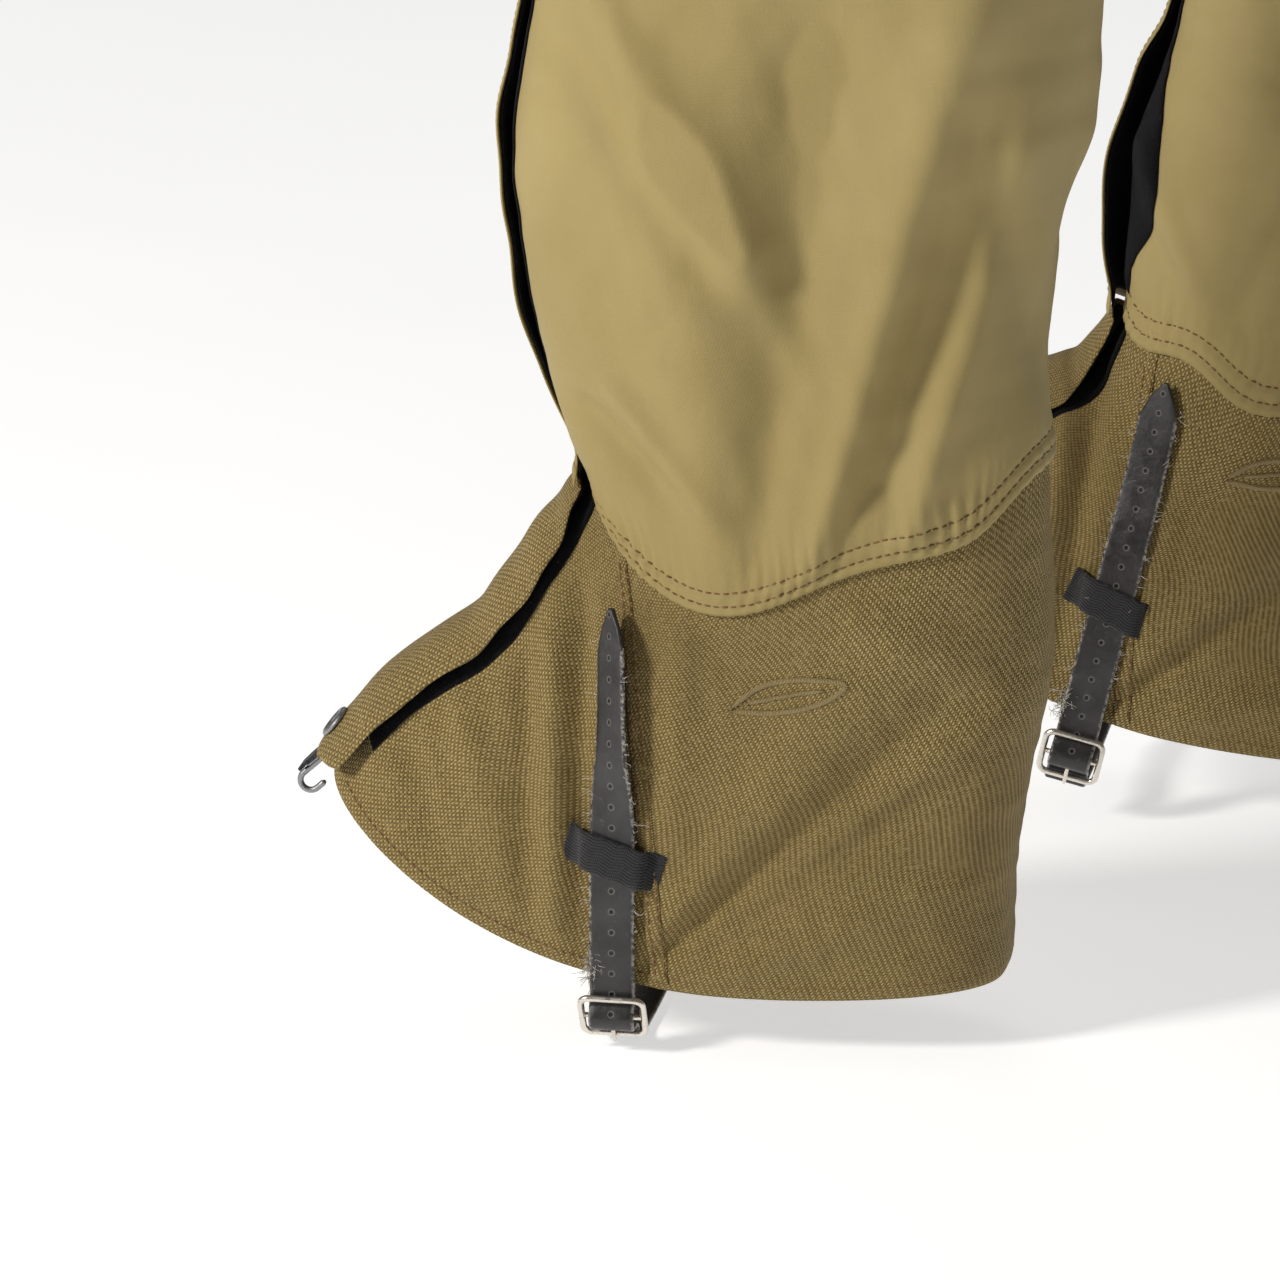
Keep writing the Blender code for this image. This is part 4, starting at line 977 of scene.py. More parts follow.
def peel(shell, height, at):
    """How far the flap's free edge stands off the closure."""
    low, high, amount = shell.facts["peel"]
    rise = smooth(low, low + 24.0, height) * (1.0 - smooth(high, high + 34.0, height))
    if shell.side == "left":
        rise = rise - 0.9 * smooth(196.0, 212.0, height) * (1.0 - smooth(240.0, 262.0, height))
    wave = 0.9 * np.sin(height / 11.0 + shell.facts["seed"]) + 0.6 * np.sin(height / 4.7)
    return (amount * rise + 0.6 * wave) * smooth(HINGE_EDGE + 8.0, UPPER_FLAP_EDGE, at) ** 1.3


def flap_inner(shell, height, at):
    """How far out the inside of the flap lies."""
    lift = 2.8 + layer(height) + 5.0 * smooth(HINGE_EDGE, OPENING_EDGE - 4.0, at)
    return lift + peel(shell, height, at)


def flap_outer(shell, height, at):
    """The outside of the flap."""
    return flap_inner(shell, height, at) + FLAP_BUILD


def hook_layer(shell, height, at):
    """The hook tape, sewn inside the flap."""
    return flap_inner(shell, height, at) + 0.35


def ribbing(shell, height, at):
    """Fine ribs across the hidden elastic."""
    return 0.35 * np.sin(np.asarray(at) * 1.9) + 0.0 * np.asarray(height)


def channel_hump(shell, height, at):
    """The top channel stands out over the webbing inside it."""
    return (3.6 * smooth(0.0, 5.0, 15.6 - np.abs(height - TOP_BAND_CENTRE))
            + 0.25 * np.sin(at * 0.42) * np.sin(at * 0.13 + 1.0))


def edge_wave(shell, heights):
    """The flap's free edge wanders a little."""
    seed = shell.facts["seed"]
    return 0.7 * np.sin(heights / 13.0 + seed) + 0.4 * np.sin(heights / 5.1 + 2.0 * seed)


def flap_wide(heights):
    """The lower flap's extra width over the instep."""
    return 3.6 * (1.0 - smooth(140.0, 190.0, heights))


def even(start, stop, spacing):
    """Even steps of about a spacing, both ends included."""
    return np.linspace(start, stop, max(int(round((stop - start) / spacing)), 2) + 1)


def hem_thick(heights, start, stop, thick=CLOTH):
    """Cloth thickness by row, doubled where the edge is folded back."""
    low = 1.0 - smooth(start + 7.5, start + 8.5, heights)
    high = smooth(stop - 8.5, stop - 7.5, heights)
    return thick + 0.9 * np.maximum(low, high)


class Dresser:
    """Makes the pieces of one gaiter over its shell surface."""

    def __init__(self, shell, finishes):
        self.shell = shell
        self.finishes = finishes
        self.made = {}

    def keep(self, key, piece, *nodes, slot=None):
        """Keeps a made piece, and hides the CAD nodes it stands in for."""
        if nodes:
            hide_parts(*(self.shell.side + "_" + node for node in nodes))
        self.made[key] = piece
        return piece

    def solid(self, name, shape, finish, slot, body="gaiter", smooth_shade=True):
        """A hard piece from its points and faces, in place of the CAD node of that name."""
        piece = place_mesh(self.shell, name, *shape, self.finishes[finish], None, body, smooth_shade)
        return self.keep(name, piece, name, slot=slot)

    def stitches(self, key, rows, body="gaiter", material="thread", pitch=3.2, length=2.5,
                 radius=0.42):
        """Rows of stitches. Each row is heights, distances round, a layer, and a relief."""
        parts = []
        for heights, places, out, relief in rows:
            heights, places = np.broadcast_arrays(np.asarray(heights, float),
                                                  np.asarray(places, float))
            points, normals = self.shell.skin(heights, places, out, relief)
            parts.extend(stitch_parts(points, normals, pitch, length, radius))
        points, faces = join(parts)
        piece = place_mesh(self.shell, key, points, faces, self.finishes[material], None, body)
        return self.keep(key, piece)

    def panels(self):
        """The upper, the three lower panels, and the folded side seams."""
        shell, finish = self.shell, self.finishes
        heights = even(UPPER_HEM, TOP, 1.5)
        stops = 2.0 * shell.half_girth(heights) + HINGE_EDGE + HINGE_LAP
        thick = hem_thick(heights, UPPER_HEM, TOP)
        upper = sheet_piece(shell, "upper_cloth", heights, OPENING_EDGE, stops, UPPER_SKIN, upper_relief,
                            finish["upper"], thick, 250, back=finish["inner"])
        self.keep("upper", upper, "upper_shell", slot="upper_cloth")
        heights = even(HEM, SEAM + 6.0, 1.4)
        thick = hem_thick(heights, HEM, SEAM + 40.0)
        half = shell.half_girth(heights)
        seam = shell.seam_edge(heights)
        inner_seam = shell.seam_edge(heights, INNER_SEAM_BACK)
        runs = (("front_outer", OPENING_EDGE, seam + 1.5, 100, 0.0),
                ("rear", seam, 2.0 * half - inner_seam, 230, 0.3),
                ("front_inner", -inner_seam - 1.5, HINGE_EDGE + HINGE_LAP, 90,
                 0.0))
        for name, start, stop, columns, rise in runs:
            piece = sheet_piece(shell, "lower_" + name, heights, start, stop, LOWER_SKIN + rise,
                                lower_relief, finish["lower"], thick, columns,
                                back=finish["inner"])
            self.keep(name, piece, "lower_" + name, slot="lower_cloth")
        folds = (("side_seam", seam - 0.6, seam + 5.6), ("inner_side_seam", -inner_seam - 5.6,
                                                        -inner_seam + 0.6))
        for name, start, stop in folds:
            piece = sheet_piece(shell, name, heights[2:], start[2:], stop[2:], LOWER_SKIN + 1.0,
                                lower_relief, finish["fold"], 0.9, 14)
            self.keep(name, piece, slot="lower_cloth")

    def seam_stitching(self):
        """Stitch rows of the hem, the side seams, the ankle seam and the top."""
        shell = self.shell
        low = even(HEM + 4.0, UPPER_HEM - 4.0, 2.0)
        seam, inner = shell.seam_edge(low), shell.seam_edge(low, INNER_SEAM_BACK)
        hem = HEM + 5.0
        hem_half = float(shell.half_girth(hem))
        round_hem = np.arange(LOWER_FLAP_EDGE + 3.0, 2.0 * hem_half + HINGE_EDGE - 2.0, 2.0)
        out = LOWER_SKIN + 0.05
        self.stitches("lower_stitching", (
            (hem, round_hem, out, lower_relief),
            (low, seam + 1.0, LOWER_SKIN + 1.0, lower_relief),
            (low, seam + 4.6, LOWER_SKIN + 1.0, lower_relief),
            (low, -inner - 1.0, LOWER_SKIN + 1.0, lower_relief),
            (low, -inner - 4.6, LOWER_SKIN + 1.0, lower_relief),
            (low, HINGE_EDGE - 2.5, out, lower_relief)))
        rows = []
        for rise in (4.4, 10.2):
            height = UPPER_HEM + rise
            half = float(shell.half_girth(height))
            places = np.arange(UPPER_FLAP_EDGE + 1.0, 2.0 * half + HINGE_EDGE - 2.0, 2.0)
            rows.append((height, places, UPPER_SKIN + 0.05, upper_relief))
        high = even(UPPER_HEM + 14.0, TOP - 4.0, 2.0)
        rows.append((high, HINGE_EDGE - 2.5, UPPER_SKIN + 0.05, upper_relief))
        top_half = float(shell.half_girth(TOP - 5.0))
        places = np.arange(UPPER_FLAP_EDGE + 6.0, 2.0 * top_half + HINGE_EDGE - 3.0, 2.0)
        rows.append((TOP - 3.5, places, UPPER_SKIN + 0.05, upper_relief))
        self.stitches("upper_stitching", rows)

    def flaps(self):
        """Both runs of the closure: flap, hook tape, loop tape and stitching."""
        shell, finish = self.shell, self.finishes
        runs = (("lower", HEM + 1.0, UPPER_HEM - 0.6, HEM + 14.0, UPPER_HEM - 2.5),
                ("upper", UPPER_HEM + 0.2, TOP - 1.0, UPPER_HEM + 3.0, TOP - 20.0))
        for name, start, stop, tape_start, tape_stop in runs:
            heights = even(start, stop, 1.4)
            edge = shell.flap_edge(heights) + edge_wave(shell, heights) + flap_wide(heights)
            corner = 9.0 * np.clip(1.0 - (heights - start) / 9.0, 0.0, 1.0) ** 2
            if name == "lower":
                edge = edge - corner
            flap = sheet_piece(shell, name + "_flap_cloth", heights,
                               HINGE_EDGE + 0.4, edge, 0.0,
                               flap_outer, finish[name], 1.2, 56,
                               None, finish[name])
            self.bend_at_hinge(flap, name + "_flap")
            self.keep(name + "_flap", flap, name + "_flap", slot=name + "_cloth")
            heights = even(tape_start, tape_stop, 1.4)
            edge = shell.flap_edge(heights) + edge_wave(shell, heights) + flap_wide(heights)
            tape = sheet_piece(shell, name + "_hook_tape", heights,
                               OPENING_EDGE - 12.0, edge - 0.9, 0.0,
                               hook_layer, finish["hooks"], 1.7, 34,
                               name + "_flap")
            self.keep(name + "_hook", tape, name + "_hook_tape", slot="tape")
            skin = LOWER_SKIN if name == "lower" else UPPER_SKIN
            heights = even(tape_start + 8.0, tape_stop, 1.4)
            wide = shell.facts["bare"] * bell(heights, 250.0, 24.0)
            wide += flap_wide(heights)
            under = upper_relief if name == "upper" else lower_relief
            tape = sheet_piece(shell, name + "_loop_tape", heights,
                               OPENING_EDGE + 1.0,
                               shell.flap_edge(heights) + 1.6 + wide, skin + 1.05, under,
                               finish["loops"], 1.2, 30)
            self.keep(name + "_loop", tape, name + "_loop_tape", slot="tape")
            heights = even(start + 5.0, stop - 3.0, 2.0)
            edge = shell.flap_edge(heights) + edge_wave(shell, heights) + flap_wide(heights)
            rows = ((heights, edge - 3.2, 0.05, flap_outer),
                    (heights, OPENING_EDGE - 3.0, 0.05, flap_outer),
                    (heights, HINGE_EDGE + 4.0, 0.05, flap_outer))
            sewn = self.stitches(name + "_flap_stitching", rows, None, name + "_thread", 3.0, 2.2,
                                 0.28)
            self.bend_at_hinge(sewn, name + "_flap")

    def bend_at_hinge(self, piece, flap):
        """Bakes a flap's cloth in place; the hinge and the direction across it are worked out but not
        used, so the cloth is not bent.
        """
        side = self.shell.side + "_"
        joint = named_joint(side + flap + "_hinge")
        pivot, axis = Vector(joint["pos_m"]), Vector(joint["axis"]).normalized()
        middle = SEAM + 60.0 if flap == "upper_flap" else 110.0
        across = self.shell.frame_at(middle, HINGE_EDGE + 4.0)[2]
        across = self.shell.world.to_3x3() @ Vector([float(v) for v in across])
        across = (across - axis * across.dot(axis)).normalized()
        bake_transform(piece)

    def elastic(self):
        """The hidden elastic in the ankle seam."""
        shell = self.shell
        heights = even(SEAM - 13.0, SEAM + 9.0, 1.0)
        half = shell.half_girth(heights)
        piece = sheet_piece(shell, "ankle_elastic", heights, OPENING_EDGE + 8.0,
                            2.0 * half + HINGE_EDGE - 4.0, -2.6,
                            ribbing, self.finishes["elastic"], 1.0, 220)
        self.keep("elastic", piece, "ankle_elastic", slot="elastic")

    def top(self):
        """The cinch webbing, the channel it runs through, and the cam buckle."""
        shell, finish = self.shell, self.finishes
        start = float(shell.flap_edge(TOP_BAND_CENTRE)) + 14.0
        stop = float(2.0 * shell.half_girth(TOP_BAND_CENTRE)) + HINGE_EDGE - 10.0
        heights = even(TOP_BAND_CENTRE - 11.0, TOP_BAND_CENTRE + 11.0, 1.1)
        webbing = sheet_piece(shell, "cinch_webbing", heights, start,
                              stop, 7.2, flat_relief, finish["webbing"], 1.5,
                              200)
        self.keep("webbing", webbing, "cinch_webbing", slot="webbing")
        heights = even(TOP_BAND_CENTRE - 16.0, TOP_BAND_CENTRE + 16.0, 1.0)
        channel = sheet_piece(shell, "top_channel", heights, start + 44.0,
                              stop - 4.0, UPPER_SKIN + 1.1, channel_hump,
                              finish["upper"], 1.1, 220)
        self.keep("channel", channel, "top_channel", slot="upper_cloth")
        rows = []
        for rise in (-14.6, 14.6):
            height = TOP_BAND_CENTRE + rise
            rows.append((height, np.arange(start + 46.0, stop - 6.0, 2.0), UPPER_SKIN + 1.1,
                         channel_hump))
        self.stitches("channel_stitching", rows)
        self.cam_buckle(start + 20.0)

    def cam_buckle(self, at):
        """The moulded base, its pin, and the lever that locks the webbing."""
        point, out, _, _ = self.shell.frame_at(TOP_BAND_CENTRE, at)
        up = np.array((0.0, 0.0, 1.0))
        up = up - out * np.dot(up, out)
        up /= np.linalg.norm(up)
        right = np.cross(up, out)
        base = 9.3
        plate = plate_parts(point + out * (base + 1.0), right, up, out, (30.0, 28.0, 2.0), 4.0, 0.6)
        cheeks = [plate_parts(point + out * (base + 4.0) - right * 11.0 + up * (12.6 * s), right, out,
                              up, (9.0, 7.6, 1.6), 3.0, 0.4) for s in (-1.0, 1.0)]
        posts = [plate_parts(point + out * (base + 2.6) + right * 11.5 + up * (9.0 * s), right, out,
                             up, (3.0, 2.6, 5.0), 1.0, 0.4) for s in (-1.0, 1.0)]
        self.solid("cam_buckle_base", join([plate] + cheeks + posts), "plastic", "plastic")
        hinge = point + out * (base + 5.6) - right * 11.0
        pin = lathe_parts(hinge, up, ((0.2, -13.6), (1.5, -13.5), (1.7, -13.0), (1.2, -12.6),
                                      (1.2, 12.6), (1.7, 13.0), (1.5, 13.5), (0.2, 13.6)), 16)
        self.solid("cam_pin", pin, "nickel", "nickel")
        knuckle = 2.6
        turns = np.radians(np.linspace(70.0, 300.0, 14))
        profile = [(knuckle * math.cos(t), knuckle * math.sin(t)) for t in turns]
        profile += [(8.0, -1.9), (19.5, -1.2), (21.6, -0.2), (22.2, 0.8), (21.4, 1.6), (19.0, 1.7),
                    (15.5, 1.1), (12.0, 1.5), (6.0, 2.0)]
        rings = []
        half = 9.4
        for level, shrink in ((-half, 0.86), (-half + 0.5, 1.0), (half - 0.5, 1.0), (half, 0.86)):
            middle = np.array((8.0, 0.0))
            rings.append([hinge + right * (middle[0] + (x - middle[0]) * (shrink * 0.5 + 0.5))
                          + out * y * shrink + up * level for x, y in profile])
        count = len(profile)
        faces = [(r * count + k, r * count + (k + 1) % count, (r + 1) * count + (k + 1) % count,
                  (r + 1) * count + k) for r in range(3) for k in range(count)]
        faces.append(tuple(range(count - 1, -1, -1)))
        faces.append(tuple(3 * count + k for k in range(count)))
        body = (np.concatenate([np.array(ring) for ring in rings]), faces)
        ribs = [tube_points([hinge + right * x + out * 1.7 - up * 8.0,
                             hinge + right * x + out * 1.7 + up * 8.0], 0.45, 8)
                for x in (13.4, 15.2, 17.0, 18.8)]
        self.solid("cam_lever", join([body] + ribs), "plastic", "plastic", "cam_lever", False)

    def snaps(self):
        """A ring snap at the toe and one at the top: cap on the flap, stud on the shell."""
        shell = self.shell
        for name, height, at, body in (("toe", HEM + 11.0, 8.0, "lower_flap"),
                                       ("top", TOP - 11.0, -4.0, "upper_flap")):
            point, out, _, _ = shell.frame_at(height, at)
            under = float(flap_inner(shell, height, at))
            skin = under + FLAP_BUILD
            cap = lathe_parts(point, out, ((0.2, skin + 0.5), (6.2, skin - 0.1), (6.35, skin + 0.5),
                                           (6.1, skin + 1.2), (5.3, skin + 1.7), (4.2, skin + 1.6),
                                           (3.5, skin + 1.0), (3.1, skin + 0.6), (1.6, skin + 0.8),
                                           (0.2, skin + 0.9)), 40)
            self.solid(name + "_snap_cap", cap, "snap", "nickel", body)
            low = LOWER_SKIN if name == "toe" else UPPER_SKIN
            stud = lathe_parts(point, out, ((0.2, low), (4.6, low + 0.1), (4.7, low + 0.6),
                                            (4.0, low + 1.1), (2.4, low + 1.3), (2.1, low + 1.8),
                                            (2.5, under - 1.4), (2.2, under - 1.0),
                                            (0.2, under - 0.9)), 32)
            self.solid(name + "_snap_stud", stud, "snap", "nickel")

    def lace_hook(self):
        """The wire hook at the toe, riveted to its webbing tab."""
        shell, finish = self.shell, self.finishes
        tip, _, _, _ = shell.frame_at(HEM, 0.0)
        _, out, _, _ = shell.frame_at(HEM + 2.0, 0.0)
        slope = math.radians(42.0)
        ahead = np.array((0.0, -math.cos(slope), -math.sin(slope)))
        side = np.array((1.0, 0.0, 0.0))
        up = np.cross(side, ahead)
        up = up if up[2] > 0.0 else -up
        base = tip + out * 6.2 + ahead * 1.5
        line = [base + ahead * step + up * rise for step, rise in
                ((-3.0, 1.2), (1.0, 0.6), (4.0, 0.1), (8.0, 0.0), (12.6, -0.3))]
        tab, _, _, _ = strap_piece(shell, "lace_hook_tab", line, [side] * len(line), 12.0, 1.3,
                                   finish["webbing"], "lace_hook", 0.7)
        self.keep("hook_tab", tab, "lace_hook_tab", slot="webbing")
        start = base + ahead * 8.0 - up * 2.6
        path = [start - ahead * 4.0, start, start + ahead * 6.0]
        for turn in np.radians(np.arange(15.0, 181.0, 15.0)):
            path.append(start + ahead * (6.0 + 3.6 * math.sin(turn))
                        - up * (3.6 - 3.6 * math.cos(turn)))
        path.append(path[-1] - ahead * 4.0)
        route, _ = smooth_path(path, 0.5)
        radius = np.full(len(route), 1.15)
        radius[:3], radius[-3:] = (0.5, 0.9, 1.1), (1.1, 0.9, 0.5)
        wire = tube_points(route, radius, 12)
        foot = plate_parts(start - ahead * 1.0 + up * 1.4, side, ahead, up, (7.0, 7.0, 1.0), 2.0, 0.3)
        rivet = lathe_parts(start - ahead * 1.0 + up * 1.8, up, ((1.9, 0.0), (1.9, 0.3), (1.3, 0.9),
                                                                  (0.2, 1.1)), 20)
        self.solid("lace_hook", join([wire, foot, rivet]), "snap", "nickel", "lace_hook")


def plate_parts(centre, right, up, out, size, corner, edge):
    """A plate with rounded corners and softened edges."""
    wide, tall, deep = (value / 2.0 for value in size)
    outline = []
    for x, y, first in ((1, 1, 0), (-1, 1, 90), (-1, -1, 180), (1, -1, 270)):
        for turn in np.radians(first + np.linspace(0.0, 90.0, 7)):
            outline.append((x * (wide - corner), y * (tall - corner), math.cos(turn), math.sin(turn)))
    points = []
    for level, inset in ((-deep, edge), (-deep + edge, 0.0), (deep - edge, 0.0), (deep, edge)):
        for x, y, c, s in outline:
            reach = corner - inset
            points.append(centre + right * (x + reach * c) + up * (y + reach * s) + out * level)
    count = len(outline)
    faces = [tuple(range(count - 1, -1, -1)), tuple(3 * count + k for k in range(count))]
    for row in range(3):
        for k in range(count):
            a, b = row * count + k, row * count + (k + 1) % count
            faces.append((a, b, b + count, a + count))
    return np.array(points), faces


# ---------------------------------------------------------------- strap and buckle

class Strap:
    """The arch strap's route, the buckle it passes through, and the loops that hold them."""

    def __init__(self, dresser):
        self.dresser = dresser
        self.shell = dresser.shell
        self.finish = dresser.finishes
        facts = self.shell.facts
        self.tilt = math.radians(facts["tilt"])
        self.lean = math.radians(facts["strap_lean"])
        turn = np.array(Matrix.Rotation(-self.lean, 3, "X"))
        self.along = turn @ np.array((math.sin(self.tilt), 0.0, math.cos(self.tilt)))
        self.out = turn @ np.array((math.cos(self.tilt), 0.0, -math.sin(self.tilt)))
        self.centre = np.array((facts["buckle"][0], STRAP_Y, facts["buckle"][1]))
        self.side = np.cross(self.along, self.out)

    def over_cloth(self, z, out):
        """A point of the strap line above the cloth, with its normal and width direction."""
        y = STRAP_Y + (z - self.shell.facts["buckle"][1]) * math.tan(self.lean)
        height, at = self.shell.find_side(y, z)
        point, normal, _, _ = self.shell.frame_at(height, at)
        side = np.cross((0.0, 0.0, 1.0), normal)
        return point + normal * out, normal, side / np.linalg.norm(side)

    def lower_run(self):
        """The strap from its inner end, under the arch, to the buckle bar."""
        inner = []
        for z in (INNER_STRAP_Z + 6.0, 58.0, 47.0, 38.0):
            height, at = self.shell.find_side(STRAP_Y, z)
            point, normal, _, _ = self.shell.frame_at(height, at)
            spot = point + normal * 3.4
            inner.append((-spot[0], STRAP_Y, z))
        under = [(-47.5, 27.0), (-43.0, 16.5), (-34.0, ARCH_Z), (-12.0, ARCH_Z - 0.6),
                 (12.0, ARCH_Z - 0.6), (28.0, ARCH_Z)]
        inner += [(x, STRAP_Y, z) for x, z in under]
        threaded = [self.centre + self.along * s + self.out * n for s, n in (
            (-12.5, -3.7), (-8.8, -3.7), (-6.2, -1.9), (-3.4, 2.2), (-1.6, 3.9), (1.6, 3.9),
            (3.4, 2.2), (6.2, -1.9), (8.8, -3.7))]
        hints = [np.array((0.0, -1.0, 0.0))] * len(inner)
        hints += [np.cross(self.out, self.along)] * len(threaded)
        return [np.array(p, float) for p in inner + threaded], hints

    def build(self):
        """The strap, then the pieces that hold it."""
        route, hints = self.lower_run()
        twists = [0.0] * len(route)
        widths = [STRAP_WIDTH] * len(route)
        goal = self.shell.facts["twist"]
        for z in (44.0, 54.0, 64.0, 74.0, 84.0, 93.0, 104.0, 116.0, 128.0, 140.0, 152.0, 159.5,
                  STRAP_TIP_Z):
            share = float(smooth(88.0, 122.0, z))
            turned = goal * share
            lift = STRAP_OUT + 4.2 * abs(math.sin(math.radians(turned)))
            lift += 1.4 * float(smooth(130.0, 166.0, z))
            spot, _, side = self.over_cloth(z, lift)
            route.append(spot)
            hints.append(-side)
            twists.append(turned)
            widths.append(STRAP_WIDTH if z < 155.0 else (10.5 if z < 162.0 else 1.6))
        strap, _, _, _ = strap_piece(self.shell, "strap", route, hints, STRAP_WIDTH, STRAP_THICK,
                                     self.finish["strap"], None, 0.8, widths, twists)
        side = self.shell.side
        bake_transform(strap)
        self.dresser.keep("strap", strap, "arch_strap", "strap_tip", slot="strap")
        self.keeper()
        self.buckle()
        self.tab()
        self.frays()

    def keeper(self):
        """The webbing loop that holds the strap to the panel."""
        centres, hints = [], []
        lifts = ((-1.0, 0.0), (-0.84, 0.0), (-0.70, 0.35), (-0.58, 0.92), (-0.3, 1.0), (0.0, 1.0),
                 (0.3, 1.0), (0.58, 0.92), (0.70, 0.35), (0.84, 0.0), (1.0, 0.0))
        for share, lift in lifts:
            z = KEEPER_Z - KEEPER_SLANT * share
            y = STRAP_Y + (KEEPER_Z - self.shell.facts["buckle"][1]) * math.tan(self.lean)
            height, at = self.shell.find_side(y + KEEPER_HALF * share, z)
            point, normal, _, _ = self.shell.frame_at(height, at)
            centres.append(point + normal * (2.4 + (STRAP_OUT + 1.7 - 2.4) * lift))
            hints.append(np.array((0.0, 0.0, 1.0)))
        piece, path, side, out = strap_piece(self.shell, "strap_keeper", centres, hints, KEEPER_TALL,
                                             1.3, self.finish["webbing"], "gaiter", 0.6)
        self.dresser.keep("keeper", piece, "strap_keeper", slot="webbing")
        parts = []
        for end in (2, 5, len(path) - 3, len(path) - 6):
            across = np.linspace(-5.8, 5.8, 14)[:, None]
            line = path[end] + side[end] * across + out[end] * 0.62
            parts.extend(stitch_parts(line, np.repeat(out[end][None], len(line), axis=0), 2.4, 1.8,
                                      0.26, 0.0))
        points, faces = join(parts)
        piece = place_mesh(self.shell, "keeper_stitching", points, faces,
                           self.finish["black_thread"], None)
        self.dresser.keep("keeper_stitching", piece)

    def buckle(self):
        """The wire frame with its centre bar, and the prong."""
        half_wide, half_tall = BUCKLE_WIDE / 2.0 - WIRE, BUCKLE_TALL / 2.0 - WIRE
        corner = BUCKLE_CORNER
        path = []
        for x, z, first in ((1, 1, 0), (-1, 1, 90), (-1, -1, 180), (1, -1, 270)):
            for turn in np.radians(first + np.linspace(0.0, 90.0, 7)):
                path.append(self.centre + self.side * (x * (half_wide - corner)
                                                       + corner * math.cos(turn))
                            + self.along * (z * (half_tall - corner) + corner * math.sin(turn)))
        dense = []
        for a, b in zip(path, path[1:] + path[:1]):
            steps = max(int(np.linalg.norm(b - a) / 1.2), 1)
            dense.extend(a + (b - a) * k / steps for k in range(steps))
        ring = tube_points(dense, 1.2, 14, True)
        ends = [self.centre + self.side * (half_wide * s) for s in (-1.0, 1.0)]
        bar = tube_points([ends[0], (ends[0] + ends[1]) / 2.0, ends[1]], 0.9, 12)
        self.dresser.solid("buckle_frame", join([ring, bar]), "nickel", "nickel", "buckle_frame")
        loop = 1.0 + 0.3 + 0.75
        path = []
        for turn in np.radians(np.arange(-135.0, 91.0, 15.0)):
            path.append(self.centre + self.along * (loop * math.cos(turn))
                        + self.out * (loop * math.sin(turn)))
        for s, n in ((-3.4, loop + 0.1), (-half_tall + 1.5, loop + 0.2), (-half_tall - 2.2, loop)):
            path.append(self.centre + self.along * s + self.out * n)
        route, _ = smooth_path(path, 0.45)
        radius = np.full(len(route), 0.78)
        radius[-4:] = (0.74, 0.66, 0.5, 0.2)
        self.dresser.solid("buckle_prong", tube_points(route, radius, 12), "nickel", "nickel",
                           "buckle_prong")

    def tab(self):
        """The webbing tab that holds the buckle by its bar."""
        centres = [self.over_cloth(z, 2.6)[0] for z in (54.0, 48.0, 42.0)]
        centres.append(self.centre + self.along * 10.0 - self.out * 6.6)
        centres.append(self.centre + self.along * 5.0 - self.out * 6.2)
        centres = [np.asarray(c, float) for c in centres]
        loop = WIRE + 0.5 + 0.4
        halves = []
        turns = np.radians(-60.0 + 252.0 * np.linspace(0.0, 1.0, 12))
        round_bar = [self.centre + self.along * (loop * math.cos(t))
                     + self.out * (loop * math.sin(t)) for t in turns]
        hint = np.cross(self.out, self.along)
        for shift in (-5.1, 5.1):
            line = [p + self.side * shift for p in centres[3:] + round_bar]
            path, places = smooth_path(line, 0.5)
            side, out = ribbon_frames(path, np.repeat(hint[None], len(path), axis=0))
            halves.append((sweep(path, side, out, strap_outline(5.0, 0.9)), path, places))
        path, places = smooth_path(centres[:4] + [centres[3] - self.along * 1.2], 0.6)
        side, out = ribbon_frames(path, np.repeat(hint[None], len(path), axis=0))
        sheet = sweep(path, side, out, strap_outline(15.0, 0.9))
        points, faces = join([sheet] + [half[0] for half in halves])
        uvs = np.stack((points[:, 1], points[:, 2]), axis=-1)
        piece = place_mesh(self.shell, "buckle_tab", points, faces, self.finish["webbing"], uvs)
        self.dresser.keep("buckle_tab", piece, "buckle_tab", slot="webbing")

    def frays(self):
        """Loose fibres at the strap's worn edges and at the end of the buckle tab."""
        chance = random.Random(self.shell.facts["seed"] * 7)
        parts = []
        spot, normal, side = self.over_cloth(40.0, 3.4)
        for _ in range(70):
            start = spot - side * chance.uniform(5.5, 9.5) + np.array((0.0, 0.0, chance.uniform(-5, 4)))
            reach = np.array([chance.gauss(0.0, 1.0) for _ in range(3)]) * 2.6 + normal * 1.6
            bow = np.array([chance.gauss(0.0, 1.0) for _ in range(3)]) * 1.3
            line = [start, start + reach * 0.5 + bow, start + reach]
            path, _ = smooth_path(line, 0.6)
            parts.append(tube_points(path, np.linspace(0.16, 0.07, len(path)), 5))
        for _ in range(60):
            z = chance.uniform(50.0, 158.0)
            edge = chance.choice((-1.0, 1.0))
            lift = STRAP_OUT + 0.2
            spot, normal, side = self.over_cloth(z, lift)
            turned = math.radians(self.shell.facts["twist"] * float(smooth(88.0, 122.0, z)))
            flat = side * math.cos(turned) + normal * math.sin(turned)
            spot = spot + normal * 4.2 * abs(math.sin(turned))
            start = spot + flat * edge * 7.7
            reach = (flat * edge * chance.uniform(0.6, 3.4)
                     + np.array([chance.gauss(0.0, 1.0) for _ in range(3)]) * 1.1 + normal * 0.8)
            bow = np.array([chance.gauss(0.0, 1.0) for _ in range(3)]) * 0.8
            path, _ = smooth_path([start, start + reach * 0.5 + bow, start + reach], 0.6)
            parts.append(tube_points(path, np.linspace(0.13, 0.05, len(path)), 5))
        points, faces = join(parts)
        piece = place_mesh(self.shell, "loose_fibres", points, faces, self.finish["fibre"], None)
        self.dresser.keep("fibres", piece)


# ---------------------------------------------------------------- embroidery

